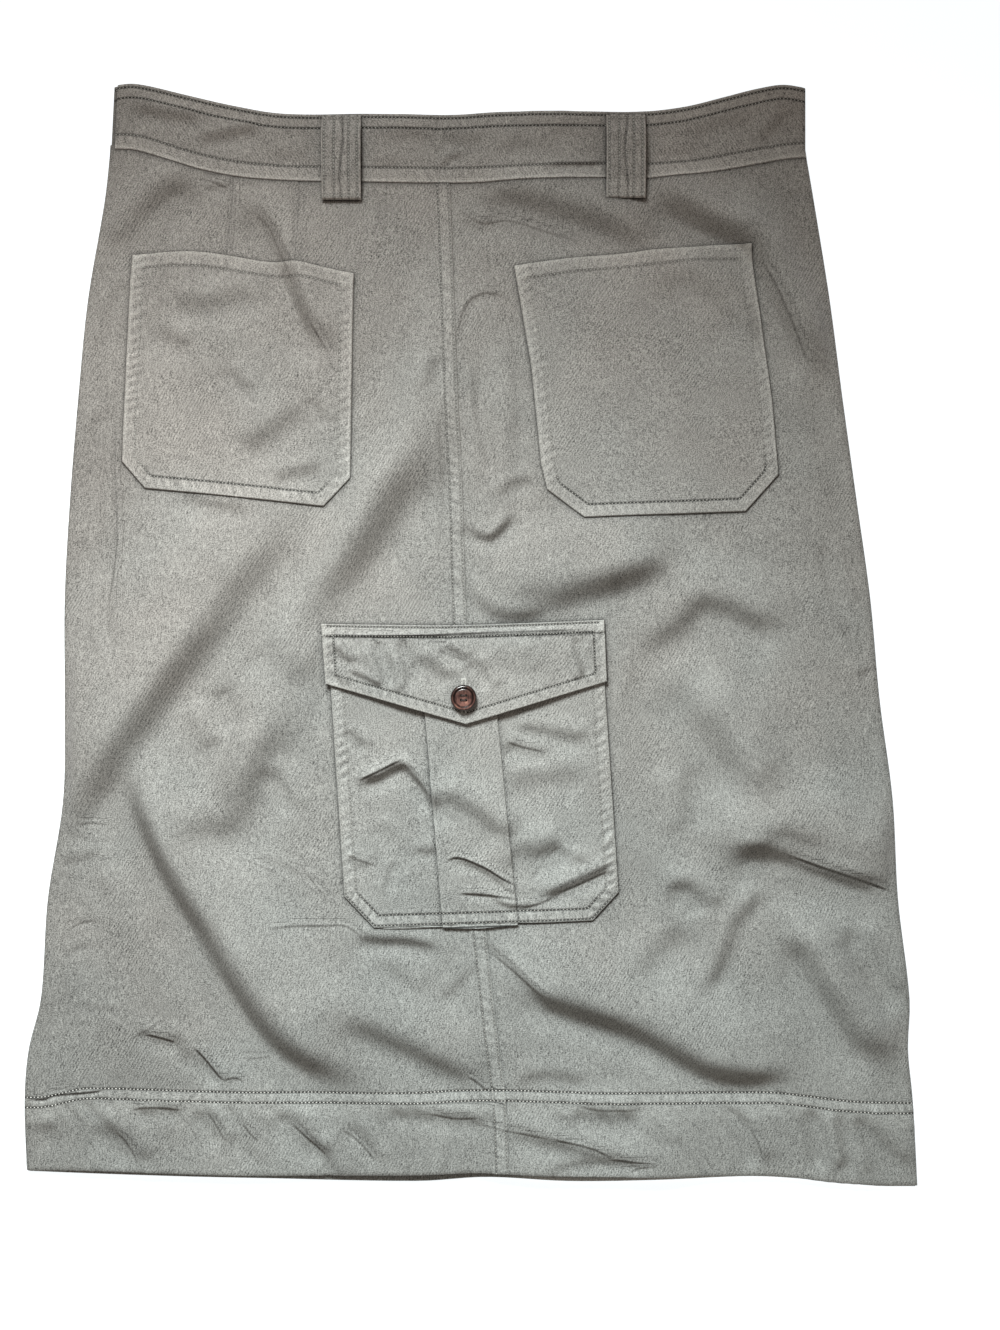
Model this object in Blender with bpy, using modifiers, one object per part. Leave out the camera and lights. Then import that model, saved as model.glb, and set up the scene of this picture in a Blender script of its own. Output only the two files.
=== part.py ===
"""Cargo utility skirt in cotton twill, laid flat on a table with its back uppermost.

The tables are in millimetres, the way a maker measures the laid-out skirt: x runs to the right
from the middle of its outline, and drop runs down from the highest point of the waistband. The model
is in metres, with +Y towards the waist, +Z up and its origin under the middle of the skirt.
"""
import math

import bmesh
import bpy
from mathutils import Vector
from mathutils.bvhtree import BVHTree

MM = 0.001

# Driving dimensions, in millimetres.
LENGTH = 717.0              # highest point of the waistband to the lowest point of the hem
CLOTH = 1.4                 # wall of one layer of twill, upright
SEAM_GAP = 0.3              # between pieces that are sewn edge to edge
LAYER_GAP = 0.4             # between pieces that lie on each other, upright
BAND = 2.2                  # the waistband's two layers
FRONT_BAND = 2.0
BAND_RISE = 1.0             # waistband above the panels below it
LOFT = 2.5                  # air under the back, away from its side seams
LOFT_REACH = 45.0           # distance from a side seam where the loft is full
EDGE_ROUND = 14.0           # distance over which a fold dies out at a side seam
HEM_DEPTH = 50.0
HEM_RISE = 0.8              # the turned-up layer inside the hem
FELL_WIDTH = 10.0           # felled allowance left of the centre back seam
FELL_RISE = 0.7
STEP = 1.0                  # width of the slope at the edge of a raised layer
SLACK = 0.01                # lets a point on a cut count as inside it
MESH_STEP = 12.0            # spacing of the points of a back panel
LEFT_COLUMNS, RIGHT_COLUMNS = 21, 20
FRONT_STEP = 24.0           # spacing of the points of the flat front's outline
FRONT_SIDES = (75.0, 695.0)  # drops between which the front's side edges have points

# Outline: side edges, centre back seam, and how high the back lies over its side seams.
SECTIONS = {
    "drop": (43, 75, 140, 205, 270, 335, 400, 465, 530, 595, 628, 660, 717),
    "left": (-234.5, -238, -249, -255.5, -261, -264.5, -264.5, -265.5, -275.5, -280, -288, -290.5,
             -288.5),
    "right": (217.5, 223, 233.5, 242, 251, 260, 266, 274.5, 278, 285.5, 284.5, 287.5, 290.5),
    "seam": (-15, -13, -10.5, -8, -5, -3, 0.5, 5, 8.5, 15, 19, 23, 25.5),
    "left_lift": (4.5, 4.5, 4.5, 4.5, 3.3, 3.1, 3.1, 3.1, 3.1, 3.1, 3.1, 3.1, 3.1),
    "right_lift": (3.7, 3.5, 3.1, 3.1, 3.1, 3.1, 3.1, 3.1, 3.1, 3.1, 3.1, 3.1, 3.1),
}

# Waistband: its curved top edge, the waist seam, and how far the front band shows above it.
WAIST = {
    "x": (-232, -218, -186, -153, -124, -77, -15, 19, 85, 116, 140, 163, 187, 203, 217.5),
    "top": (1.5, 0.5, 8.0, 15.5, 20.3, 21.0, 22.6, 20.5, 19.6, 18.6, 15.5, 9.8, 3.6, 0.8, 2.8),
    "seam": (43, 43.7, 53.8, 61.1, 63.7, 64.8, 65.7, 65, 62.4, 62.7, 61.1, 57.2, 52.7, 49.4, 48.1),
    "peek": (0, 0.5, 0, 0, 0, 1.0, 2.0, 1.9, 1.8, 1.5, 0.8, 0, 0, 0, 0),
}

# Hem: the lower edges of the back and of the front that shows under it.
HEM = {
    "x": (-288.5, -244, -182, -134, -34, 10, 63, 120, 177, 200, 235, 263, 290.5),
    "back": (706.5, 706, 708, 709, 709, 707.2, 708.5, 709.2, 709.2, 709.5, 713.7, 715.5, 716.4),
    "front": (707, 708.8, 710.8, 711.8, 713.6, 711, 713.7, 713, 710.5, 711, 714, 716.8, 717),
}

# Largest folds. Each runs from start over bend to end; "left" and "right" are how far it reaches
# on either side of that line, walking along it, and rise is the height of its crest.
FOLD_COLUMNS = ("name", "start", "bend", "end", "left", "right", "rise")
FOLDS = (
    ("hip_left", (-100, 250), (-184, 362), (-278, 498), 22, 84, 13.0),
    ("seat", (-18, 92), (-44, 225), (-116, 356), 22, 17, 10.0),
    ("seat_low", (-96, 322), (-147, 400), (-184, 480), 24, 22, 7.5),
    ("sweep_left", (-224, 426), (-147, 556), (-56, 656), 46, 22, 13.5),
    ("hem_right", (8, 562), (113, 606), (230, 632), 46, 24, 12.0),
    ("hem_centre", (-98, 584), (-46, 612), (18, 640), 24, 16, 6.0),
    ("over_flap", (-4, 339), (77, 320), (162, 305), 46, 19, 8.5),
    ("beside_flap", (104, 356), (152, 329), (212, 354), 24, 14, 3.5),
    ("thigh_right", (142, 386), (174, 423), (202, 472), 32, 18, 5.0),
    ("knee_right", (141, 502), (214, 486), (284, 525), 40, 18, 9.0),
    ("edge_right", (196, 524), (234, 580), (278, 646), 22, 18, 7.5),
    ("waist_left", (-234, 106), (-205, 80), (-170, 66), 20, 20, -1.2),
    ("waist_right", (16, 60), (68, 74), (126, 100), 22, 16, 3.0),
    ("pocket_right", (110, 72), (181, 105), (234, 196), 32, 18, 4.0),
    ("pocket_left", (-134, 80), (-110, 134), (-82, 178), 28, 14, 3.0),
    ("seam_right", (12, 180), (20, 240), (14, 306), 14, 16, 2.4),
    ("hem_mouth", (-8, 722), (75, 722), (166, 722), 84, 40, 6.2),
    ("hem_left", (-280, 722), (-196, 722), (-104, 722), 44, 40, 2.2),
    ("waist_mouth", (-102, 12), (2, 12), (118, 12), 60, 74, 4.8),
)
FOLD_ENDS = 0.3             # share of a fold's length over which it rises from the flat cloth
FOLD_POINTS = 14            # straight stretches in a fold's centre line

# Pieces laid on the back, as the corners (x, drop) of their outlines.
PATCH_POCKET_LEFT = ((-220, 111), (-178, 109.5), (-135, 115), (-76, 124), (-78, 257),
                     (-95.5, 275), (-211, 263.5), (-226.5, 245.5))
PATCH_POCKET_RIGHT = ((28, 119), (84, 111), (138.5, 105.6), (181.5, 105.6), (199.5, 254),
                      (178, 278), (73.5, 282), (49.5, 264))
MOUTH_CORNERS = 4           # the first corners of a patch pocket run along its mouth
POCKET_HEM = 9.0            # turned-in mouth of a patch pocket
POCKET_HEM_RISE = 0.6
CARGO_POCKET = ((-93, 365), (85, 362), (96, 525), (79, 543.5), (-62.7, 548), (-82, 528))
PLEAT_LEFT = ((-34, 365), (-18, 548))
PLEAT_RIGHT = ((12, 363), (32, 545))
PLEAT_RISE = 1.8
FLAP = ((-96.7, 351), (86.5, 348.4), (88.1, 388.4), (-3, 416), (-94, 390))
FLAP_RAMP = 12.0            # below its seam, the flap has risen over the pocket's mouth
FLAP_CLEAR = 3.8            # flap's face above the panel beside the pleat
FLAP_SLOPE = 0.045          # further rise of the flap towards its free edge
PLEAT_MARGIN = 3.0
CROWN_REACH = 75.0          # the flap's rise over the pleat dies out over this distance

BUTTON_PLACE = (-4.5, 398.8)
BUTTON_RADIUS = 8.4
BUTTON_THICKNESS = 3.2
BUTTON_DISH = 1.1           # depth of the dished middle
BUTTON_RIM = 2.0
BUTTON_EDGE = 0.7           # rounding of the rim
BUTTON_STEPS = 32
HOLE_RADIUS = 1.0
HOLE_SPACING = 3.0          # between neighbouring holes
HOLE_SIDES = 10
SEAT_STEP = 1.4             # spacing of the places where the button's seat is measured

LOOP_WIDTH = 25.4
LOOP_TOPS = {"belt_loop_left": (-83.5, 22.8), "belt_loop_right": (100.2, 22.0)}
LOOP_ROWS = {
    "down": (0, 5, 9, 14, 27, 40, 45, 49, 54),
    "clear": (0.3, 0.3, 4.0, 5.2, 5.6, 5.2, 4.0, 0.3, 0.3),
}
LOOP_PROBE = (3.0, 2.0)     # spacing, across and along, of the places measured under a loop
LOOP_ACROSS = ((-12.7, 0.0), (-11.2, 0.4), (-1.6, 0.4), (0.0, -0.2), (1.6, 0.4), (11.2, 0.4),
               (12.7, 0.0))     # across the loop and how far each point is raised

ZIP_TOP, ZIP_END = 50.0, 228.0
ZIP_INSET, ZIP_WIDTH, ZIP_THICKNESS = 2.0, 7.0, 1.0
ZIP_ROWS = 12

TWILL = (0.33, 0.33, 0.29)
TWILL_EDGE = (0.25, 0.25, 0.22)
HORN = (0.09, 0.045, 0.032)
TAPE = (0.22, 0.21, 0.18)


def blend(low, high, share):
    return low + (high - low) * share


def ease(share):
    """0 to 1, level at both ends."""
    share = min(max(share, 0.0), 1.0)
    return share * share * (3.0 - 2.0 * share)


def from_table(table, key, value, column):
    """Value of a table's column, read between its rows along a soft curve."""
    keys, values = table[key], table[column]
    value = min(max(value, keys[0]), keys[-1])
    row = 0
    while row < len(keys) - 2 and value > keys[row + 1]:
        row += 1

    def slope(at):
        before, after = max(at - 1, 0), min(at + 1, len(keys) - 1)
        return (values[after] - values[before]) / (keys[after] - keys[before])

    width = keys[row + 1] - keys[row]
    share = (value - keys[row]) / width
    straight = blend(values[row], values[row + 1], share)
    start_pull = slope(row) * width - (values[row + 1] - values[row])
    end_pull = (values[row + 1] - values[row]) - slope(row + 1) * width
    return straight + share * (1 - share) * ((1 - share) * start_pull + share * end_pull)


def place(x, drop, height):
    """A point of the model, in metres, from a place on the laid-out skirt."""
    return Vector((x * MM, (LENGTH / 2 - drop) * MM, height * MM))


def laid_out(point):
    """x and drop of a point of the model, in millimetres."""
    return point.x / MM, LENGTH / 2 - point.y / MM


def fold_line(start, bend, end):
    """Points of the curve from start to end that passes through bend."""
    points = []
    for step in range(FOLD_POINTS + 1):
        t = step / FOLD_POINTS
        pull = 2 * t * (1 - t)
        points.append(tuple(
            s * ((1 - t) ** 2 - pull / 2) + 2 * pull * b + e * (t ** 2 - pull / 2)
            for s, b, e in zip(start, bend, end)))
    return points


FOLD_LINES = [(dict(zip(FOLD_COLUMNS, row)), fold_line(*row[1:4])) for row in FOLDS]


def fold_height(fold, line, x, drop):
    """Height that one fold adds at a place."""
    reach = max(fold["left"], fold["right"])
    if not (min(p[0] for p in line) - reach < x < max(p[0] for p in line) + reach
            and min(p[1] for p in line) - reach < drop < max(p[1] for p in line) + reach):
        return 0.0
    nearest, along, side = math.inf, 0.0, 1.0
    for number, ((ax, ay), (bx, by)) in enumerate(zip(line, line[1:])):
        run_x, run_y = bx - ax, by - ay
        share = ((x - ax) * run_x + (drop - ay) * run_y) / (run_x ** 2 + run_y ** 2)
        share = min(max(share, 0.0), 1.0)
        off_x, off_y = x - ax - share * run_x, drop - ay - share * run_y
        distance = math.hypot(off_x, off_y)
        if distance < nearest:
            nearest, along = distance, (number + share) / FOLD_POINTS
            side = run_x * off_y - run_y * off_x
    width = fold["right"] if side > 0 else fold["left"]
    if nearest >= width:
        return 0.0
    ends = ease(along / FOLD_ENDS) * ease((1 - along) / FOLD_ENDS)
    return fold["rise"] * ends * math.cos(math.pi / 2 * nearest / width) ** 2


def cloth_height(x, drop):
    """Outer face of the back above the table."""
    left, right = (from_table(SECTIONS, "drop", drop, side) for side in ("left", "right"))
    lifts = [from_table(SECTIONS, "drop", drop, side) for side in ("left_lift", "right_lift")]
    inside = max(min(x - left, right - x), 0.0)
    folds = sum(fold_height(fold, line, x, drop) for fold, line in FOLD_LINES)
    base = blend(lifts[0], lifts[1], ease((x - left) / (right - left)))
    return base + LOFT * ease(inside / LOFT_REACH) + folds * ease(inside / EDGE_ROUND)


def sheet_of(across, rows, find_place):
    """A grid of triangles; find_place(column, row) gives a point's x, drop, height and rise."""
    sheet = bmesh.new()
    bmesh.ops.create_grid(sheet, x_segments=across, y_segments=rows, size=0.5)
    raised = sheet.verts.layers.float.new("raised")
    for vert in sheet.verts:
        column, row = round((vert.co.x + 0.5) * across), round((0.5 - vert.co.y) * rows)
        x, drop, height, rise = find_place(column, row)
        vert.co = place(x, drop, height + rise)
        vert[raised] = rise
    bmesh.ops.triangulate(sheet, faces=sheet.faces[:], quad_method="SHORT_EDGE")
    return sheet


def cut_line(sheet, start, end, keep_right=False):
    """Cut the sheet straight down from start to end, and drop what lies left of that line."""
    run = place(*end, 0) - place(*start, 0)
    bmesh.ops.bisect_plane(
        sheet, geom=sheet.verts[:] + sheet.edges[:] + sheet.faces[:], dist=1e-7,
        plane_co=place(*start, 0), plane_no=Vector((-run.y, run.x, 0)).normalized(),
        clear_outer=keep_right)


def cut_out(sheet, outline):
    """Copy of the part of a sheet that lies inside an outline, listed clockwise as it is seen."""
    piece = sheet.copy()
    for start, end in zip(outline, outline[1:] + outline[:1]):
        cut_line(piece, start, end, keep_right=True)
    raised = piece.verts.layers.float["raised"]
    for vert in piece.verts:
        vert[raised] = 0.0
    return piece


def right_of(point, start, end):
    """How far a point of the model lies to the right of the line from start to end."""
    x, drop = laid_out(point)
    run_x, run_y = end[0] - start[0], end[1] - start[1]
    return (run_x * (drop - start[1]) - run_y * (x - start[0])) / math.hypot(run_x, run_y)


def shifted(line, distance):
    """The line moved to its right by a distance."""
    (ax, ay), (bx, by) = line
    length = math.hypot(bx - ax, by - ay)
    off_x, off_y = -(by - ay) / length * distance, (bx - ax) / length * distance
    return (ax + off_x, ay + off_y), (bx + off_x, by + off_y)


def raise_sheet(sheet, lift):
    """Move each point up by lift(point) millimetres, over a plain inside."""
    raised = sheet.verts.layers.float["raised"]
    for vert in sheet.verts:
        rise = lift(vert.co)
        vert.co.z += rise * MM
        vert[raised] += rise


def material(name, colour, roughness):
    made = bpy.data.materials.new(name)
    made.use_nodes = True
    shader = made.node_tree.nodes["Principled BSDF"]
    shader.inputs["Base Color"].default_value = (*colour, 1.0)
    shader.inputs["Roughness"].default_value = roughness
    made.diffuse_color = (*colour, 1.0)
    return made


def add_object(name, mesh, colour, roughness=0.9):
    part = bpy.data.objects.new(name, mesh)
    mesh.materials.append(material(name, colour, roughness))
    SKIRT.objects.link(part)
    return part


def add_cloth(name, sheet, wall=CLOTH, colour=TWILL):
    """Give a sheet its wall, straight down from its outer face, and add it to the skirt."""
    body = sheet.copy()
    raised = body.verts.layers.float["raised"]
    copied = bmesh.ops.extrude_face_region(body, geom=body.faces[:])["geom"]
    for vert in copied:
        if isinstance(vert, bmesh.types.BMVert):
            vert.co.z -= wall * MM + vert[raised] * MM
    bmesh.ops.recalc_face_normals(body, faces=body.faces[:])
    mesh = bpy.data.meshes.new(name)
    body.to_mesh(mesh)
    body.free()
    return add_object(name, mesh, colour)


def add_plate(name, outline, low, high, colour=TWILL_EDGE):
    """A flat piece of cloth between two heights."""
    plate = bmesh.new()
    verts = [plate.verts.new(place(x, drop, low)) for x, drop in outline]
    face = plate.faces.new(verts)
    copied = bmesh.ops.extrude_face_region(plate, geom=[face])["geom"]
    top = [vert for vert in copied if isinstance(vert, bmesh.types.BMVert)]
    bmesh.ops.translate(plate, verts=top, vec=(0, 0, (high - low) * MM))
    bmesh.ops.recalc_face_normals(plate, faces=plate.faces[:])
    mesh = bpy.data.meshes.new(name)
    plate.to_mesh(mesh)
    plate.free()
    return add_object(name, mesh, colour)


def even_steps(low, high, step):
    """Values from low to high, both included, about one step apart."""
    count = max(round((high - low) / step), 1)
    return [blend(low, high, number / count) for number in range(count + 1)]


# ---- back panels ----

BODY_ROWS = round((LENGTH - HEM_DEPTH - max(WAIST["seam"])) / MESH_STEP)
HEM_ROWS = (HEM_DEPTH, HEM_DEPTH - STEP, 0.72 * HEM_DEPTH, 0.48 * HEM_DEPTH, 0.24 * HEM_DEPTH, 0.0)


def row_drop(x, row):
    """Drop of a row of points: even down to the hem's stitching, then at the hem's own rows."""
    hem = from_table(HEM, "x", x, "back")
    top = from_table(WAIST, "x", x, "seam") + SEAM_GAP
    if row < BODY_ROWS:
        return blend(top, hem - HEM_DEPTH, row / BODY_ROWS)
    return hem - HEM_ROWS[row - BODY_ROWS]


def back_sheet(columns, x_of, raised_from):
    """Outer face of the back over some columns; x_of(column, drop) gives where each one runs."""
    rows = BODY_ROWS + len(HEM_ROWS) - 1

    def find_place(column, row):
        x, drop = 0.0, row_drop(0.0, row)
        for _ in range(3):
            x = x_of(column, drop)
            drop = row_drop(x, row)
        rise = HEM_RISE if row > BODY_ROWS else 0.0
        if raised_from[0] <= column <= raised_from[1]:
            rise += FELL_RISE
        return x, drop, cloth_height(x, drop), rise

    return sheet_of(columns, rows, find_place)


def left_half(column, drop, gap=SEAM_GAP / 2):
    """Columns of the left panel: even ones, then the two edges of the felled allowance."""
    edge, seam = (from_table(SECTIONS, "drop", drop, side) for side in ("left", "seam"))
    if column <= LEFT_COLUMNS:
        return blend(edge, seam - FELL_WIDTH - STEP, column / LEFT_COLUMNS)
    return seam - (FELL_WIDTH if column == LEFT_COLUMNS + 1 else gap)


def right_half(column, drop, gap=SEAM_GAP / 2):
    seam, edge = (from_table(SECTIONS, "drop", drop, side) for side in ("seam", "right"))
    return blend(seam + gap, edge, column / RIGHT_COLUMNS)


def whole_back(column, drop):
    """Columns of both panels, with one in the seam."""
    if column <= LEFT_COLUMNS + 2:
        return left_half(column, drop, gap=0.0)
    return right_half(column - LEFT_COLUMNS - 2, drop, gap=0.0)


# ---- pockets and flap ----

def hemmed(sheet, outline):
    """Raise the turned-in hem along the mouth of a patch pocket."""
    mouth = list(zip(outline, outline[1:MOUTH_CORNERS]))
    for edge in mouth:
        cut_line(sheet, *shifted(edge, POCKET_HEM))
        cut_line(sheet, *shifted(edge, POCKET_HEM - STEP))

    def lift(point):
        inside = min(right_of(point, *edge) for edge in mouth) < POCKET_HEM - STEP + SLACK
        return POCKET_HEM_RISE if inside else 0.0

    raise_sheet(sheet, lift)



def pleated(sheet):
    """Raise the box pleat of the cargo pocket between its two folds."""
    for line in (PLEAT_LEFT, shifted(PLEAT_LEFT, STEP), PLEAT_RIGHT, shifted(PLEAT_RIGHT, -STEP)):
        cut_line(sheet, *line)

    def lift(point):
        inside = (right_of(point, *PLEAT_LEFT) < SLACK and right_of(point, *PLEAT_RIGHT) > -SLACK)
        return PLEAT_RISE if inside else 0.0

    raise_sheet(sheet, lift)


def flap_lift(point):
    """Height of the flap's face over the panel: low at its seam, higher over the pleat."""
    below = right_of(point, FLAP[0], FLAP[1])
    beside = max(right_of(point, *shifted(PLEAT_LEFT, PLEAT_MARGIN)),
                 -right_of(point, *shifted(PLEAT_RIGHT, -PLEAT_MARGIN)), 0.0)
    crown = PLEAT_RISE * (1.0 - min(beside / CROWN_REACH, 1.0))
    over_pocket = FLAP_CLEAR + crown + FLAP_SLOPE * max(below - FLAP_RAMP, 0.0)
    return blend(LAYER_GAP + CLOTH, over_pocket, min(below / FLAP_RAMP, 1.0))


# ---- loops, button, side fastening ----

def highest(tree, x, drops):
    """Highest point of a surface along a line of places."""
    heights = []
    for drop in drops:
        hit = tree.ray_cast(place(x, drop, LENGTH), Vector((0, 0, -1)))[0]
        if hit is not None:
            heights.append(hit.z / MM)
    return max(heights, default=0.0)


def surface_tree(objects):
    """Search tree over the faces of some finished pieces."""
    joined = bmesh.new()
    for part in objects:
        joined.from_mesh(part.data)
    tree = BVHTree.FromBMesh(joined)
    joined.free()
    return tree


def add_belt_loop(name, tree):
    centre, top = LOOP_TOPS[name]
    downs, clears = LOOP_ROWS["down"], LOOP_ROWS["clear"]
    levels = []
    for row, down in enumerate(downs):
        before, after = downs[max(row - 1, 0)], downs[min(row + 1, len(downs) - 1)]
        drops = [top + d for d in even_steps(before, after, LOOP_PROBE[1])]
        under = max(highest(tree, centre + across, drops)
                    for across in even_steps(-LOOP_WIDTH / 2, LOOP_WIDTH / 2, LOOP_PROBE[0]))
        levels.append(under + clears[row] + CLOTH)

    def find_place(column, row):
        across, rise = LOOP_ACROSS[column]
        return centre + across, top + downs[row], levels[row], rise

    return add_cloth(name, sheet_of(len(LOOP_ACROSS) - 1, len(downs) - 1, find_place))


def button_profile():
    """Half the button's outline, from its dished middle over the rim to its back."""
    radius, thick, edge = BUTTON_RADIUS, BUTTON_THICKNESS, BUTTON_EDGE
    inner = radius - BUTTON_RIM
    return ((0, thick - BUTTON_DISH), (inner - edge, thick - BUTTON_DISH), (inner, thick - edge / 3),
            (radius - BUTTON_RIM / 2, thick), (radius - edge / 2, thick - edge),
            (radius, thick / 2), (radius - edge, edge / 3), (inner, 0), (0, 0))


def button_seat(tree):
    """Height at which the button's back just clears the flap."""
    centre_x, centre_drop = BUTTON_PLACE
    reach = even_steps(-BUTTON_RADIUS, BUTTON_RADIUS, SEAT_STEP)
    return SEAM_GAP + max(
        highest(tree, centre_x + across, [centre_drop + down for down in reach
                                          if math.hypot(across, down) <= BUTTON_RADIUS])
        for across in reach)


def add_button(tree):
    """Four-hole button turned from a rim and a dished middle."""
    mesh = bpy.data.meshes.new("flap_button")
    profile = [(radius * MM, 0, height * MM) for radius, height in button_profile()]
    mesh.from_pydata(profile, [(n, n + 1) for n in range(len(profile) - 1)], [])
    button = add_object("flap_button", mesh, HORN, roughness=0.3)
    button.location = place(*BUTTON_PLACE, button_seat(tree))
    turn = button.modifiers.new("turn", "SCREW")
    turn.steps = turn.render_steps = BUTTON_STEPS
    turn.use_merge_vertices = True
    turn.merge_threshold = 0.00001
    for number in range(4):
        angle = math.tau * (number + 0.5) / 4
        off = Vector((math.cos(angle), math.sin(angle), 0)) * HOLE_SPACING / math.sqrt(2) * MM
        bpy.ops.mesh.primitive_cylinder_add(
            vertices=HOLE_SIDES, radius=HOLE_RADIUS * MM, depth=4 * BUTTON_THICKNESS * MM,
            location=button.location + off)
        hole = bpy.context.object
        hole.name = f"button_hole_{number + 1}"
        hole.hide_render = True
        hole.display_type = "WIRE"
        for collection in hole.users_collection:
            collection.objects.unlink(hole)
        CUTTERS.objects.link(hole)
        cut = button.modifiers.new(hole.name, "BOOLEAN")
        cut.operation = "DIFFERENCE"
        cut.solver = "EXACT"
        cut.object = hole
    return button


def add_side_zip():
    """Closed fastening between the layers, along the left side seam."""
    low = CLOTH + SEAM_GAP

    def find_place(column, row):
        drop = blend(ZIP_TOP, ZIP_END, row / ZIP_ROWS)
        edge = from_table(SECTIONS, "drop", drop, "left")
        return edge + ZIP_INSET + column * ZIP_WIDTH, drop, low + ZIP_THICKNESS, 0.0

    return add_cloth("side_zip", sheet_of(1, ZIP_ROWS, find_place), ZIP_THICKNESS, TAPE)


# ---- front and waistband ----

def front_waist():
    """Places along the front's waist seam."""
    return even_steps(SECTIONS["left"][0], SECTIONS["right"][0], FRONT_STEP)


def front_outline():
    """Front panel: under the waist seam, down the sides and along its own hem."""
    left_top = from_table(WAIST, "x", SECTIONS["left"][0], "seam")
    outline = [(x, from_table(WAIST, "x", x, "seam") + SEAM_GAP) for x in front_waist()]
    sides = even_steps(*FRONT_SIDES, FRONT_STEP)
    outline += [(from_table(SECTIONS, "drop", drop, "right"), drop) for drop in sides]
    xs = even_steps(SECTIONS["left"][-1], SECTIONS["right"][-1], FRONT_STEP)
    outline += [(x, from_table(HEM, "x", x, "front")) for x in reversed(xs)]
    outline += [(from_table(SECTIONS, "drop", drop, "left"), drop)
                for drop in reversed(sides) if drop > left_top]
    return outline


def front_band_outline():
    """Front waistband, a little wider than the back one at its left end and top."""
    outline = [(x, from_table(WAIST, "x", x, "top") - from_table(WAIST, "x", x, "peek"))
               for x in front_waist()]
    return outline + [(x, from_table(WAIST, "x", x, "seam")) for x in reversed(front_waist())]


def waistband_sheet():
    """Back waistband, with its points over those of the panels along the waist seam."""
    columns, rows = LEFT_COLUMNS + 2 + RIGHT_COLUMNS, 4

    def find_place(column, row):
        x = max(whole_back(column, row_drop(0.0, 0)), WAIST["x"][0])
        for _ in range(3):
            x = max(whole_back(column, row_drop(x, 0)), WAIST["x"][0])
        drop = blend(from_table(WAIST, "x", x, "top"), from_table(WAIST, "x", x, "seam"), row / rows)
        return x, drop, cloth_height(x, drop) + BAND_RISE, 0.0

    return sheet_of(columns, rows, find_place)


# ---- the skirt ----

for old in list(bpy.data.objects):
    bpy.data.objects.remove(old)

SKIRT = bpy.data.collections.new("cargo_utility_skirt")
CUTTERS = bpy.data.collections.new("cutters")
bpy.context.scene.collection.children.link(SKIRT)
bpy.context.scene.collection.children.link(CUTTERS)

add_plate("front", front_outline(), 0.0, CLOTH)
add_plate("waistband_front", front_band_outline(), 0.0, FRONT_BAND)
add_side_zip()

left_sheet = back_sheet(LEFT_COLUMNS + 2, left_half, (LEFT_COLUMNS + 1, LEFT_COLUMNS + 2))
right_sheet = back_sheet(RIGHT_COLUMNS, right_half, (-1, -1))
back = back_sheet(LEFT_COLUMNS + 2 + RIGHT_COLUMNS, whole_back,
                  (LEFT_COLUMNS + 1, LEFT_COLUMNS + 2))
panel_left = add_cloth("back_left", left_sheet)
panel_right = add_cloth("back_right", right_sheet)
band = add_cloth("waistband_back", waistband_sheet(), BAND)

for pocket_name, panel_sheet, pocket_outline in (
        ("patch_pocket_left", left_sheet, PATCH_POCKET_LEFT),
        ("patch_pocket_right", right_sheet, PATCH_POCKET_RIGHT)):
    pocket = cut_out(panel_sheet, pocket_outline)
    for vert in pocket.verts:
        vert.co.z += (LAYER_GAP + CLOTH) * MM
    hemmed(pocket, pocket_outline)
    add_cloth(pocket_name, pocket)

cargo = cut_out(back, CARGO_POCKET)
for vert in cargo.verts:
    vert.co.z += (LAYER_GAP + CLOTH) * MM
pleated(cargo)
add_cloth("cargo_pocket", cargo)

flap_sheet = cut_out(back, FLAP)
for break_line in (shifted(FLAP[:2], FLAP_RAMP), shifted(PLEAT_LEFT, PLEAT_MARGIN),
                   shifted(PLEAT_RIGHT, -PLEAT_MARGIN)):
    cut_line(flap_sheet, *break_line)
for vert in flap_sheet.verts:
    vert.co.z += flap_lift(vert.co) * MM
flap = add_cloth("cargo_flap", flap_sheet)
add_button(surface_tree([flap]))

waist_tree = surface_tree([panel_left, panel_right, band])
for loop_name in LOOP_TOPS:
    add_belt_loop(loop_name, waist_tree)
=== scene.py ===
"""Cargo utility skirt in washed cotton twill, laid flat on a table with its back uppermost.

The tables are in millimetres on the laid-out skirt: x runs to the right from the middle of its
outline, and drop runs down from the highest point of the waistband. Heights are above the table.
"""
import math

import bpy
import numpy as np
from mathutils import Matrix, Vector
from mathutils.bvhtree import BVHTree


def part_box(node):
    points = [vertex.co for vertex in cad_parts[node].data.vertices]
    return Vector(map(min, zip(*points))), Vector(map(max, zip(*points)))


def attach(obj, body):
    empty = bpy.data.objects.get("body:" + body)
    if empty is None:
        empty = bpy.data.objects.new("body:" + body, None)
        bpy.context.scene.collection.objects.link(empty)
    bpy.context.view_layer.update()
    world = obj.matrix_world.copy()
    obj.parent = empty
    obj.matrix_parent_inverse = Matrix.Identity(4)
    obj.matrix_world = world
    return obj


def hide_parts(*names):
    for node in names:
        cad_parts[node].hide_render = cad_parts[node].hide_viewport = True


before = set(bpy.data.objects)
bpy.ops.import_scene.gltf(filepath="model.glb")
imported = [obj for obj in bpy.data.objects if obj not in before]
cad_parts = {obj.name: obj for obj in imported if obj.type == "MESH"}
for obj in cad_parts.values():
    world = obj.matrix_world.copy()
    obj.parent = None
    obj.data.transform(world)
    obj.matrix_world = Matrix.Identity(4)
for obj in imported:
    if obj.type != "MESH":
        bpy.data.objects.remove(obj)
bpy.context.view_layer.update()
scene = bpy.context.scene


# ---- front panel ----
# One layer of washed cotton twill that lies flat on the table, with a hem turned up inside the
# skirt and sewn with two rows of thread. Only its edges peek out from under the back.

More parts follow.
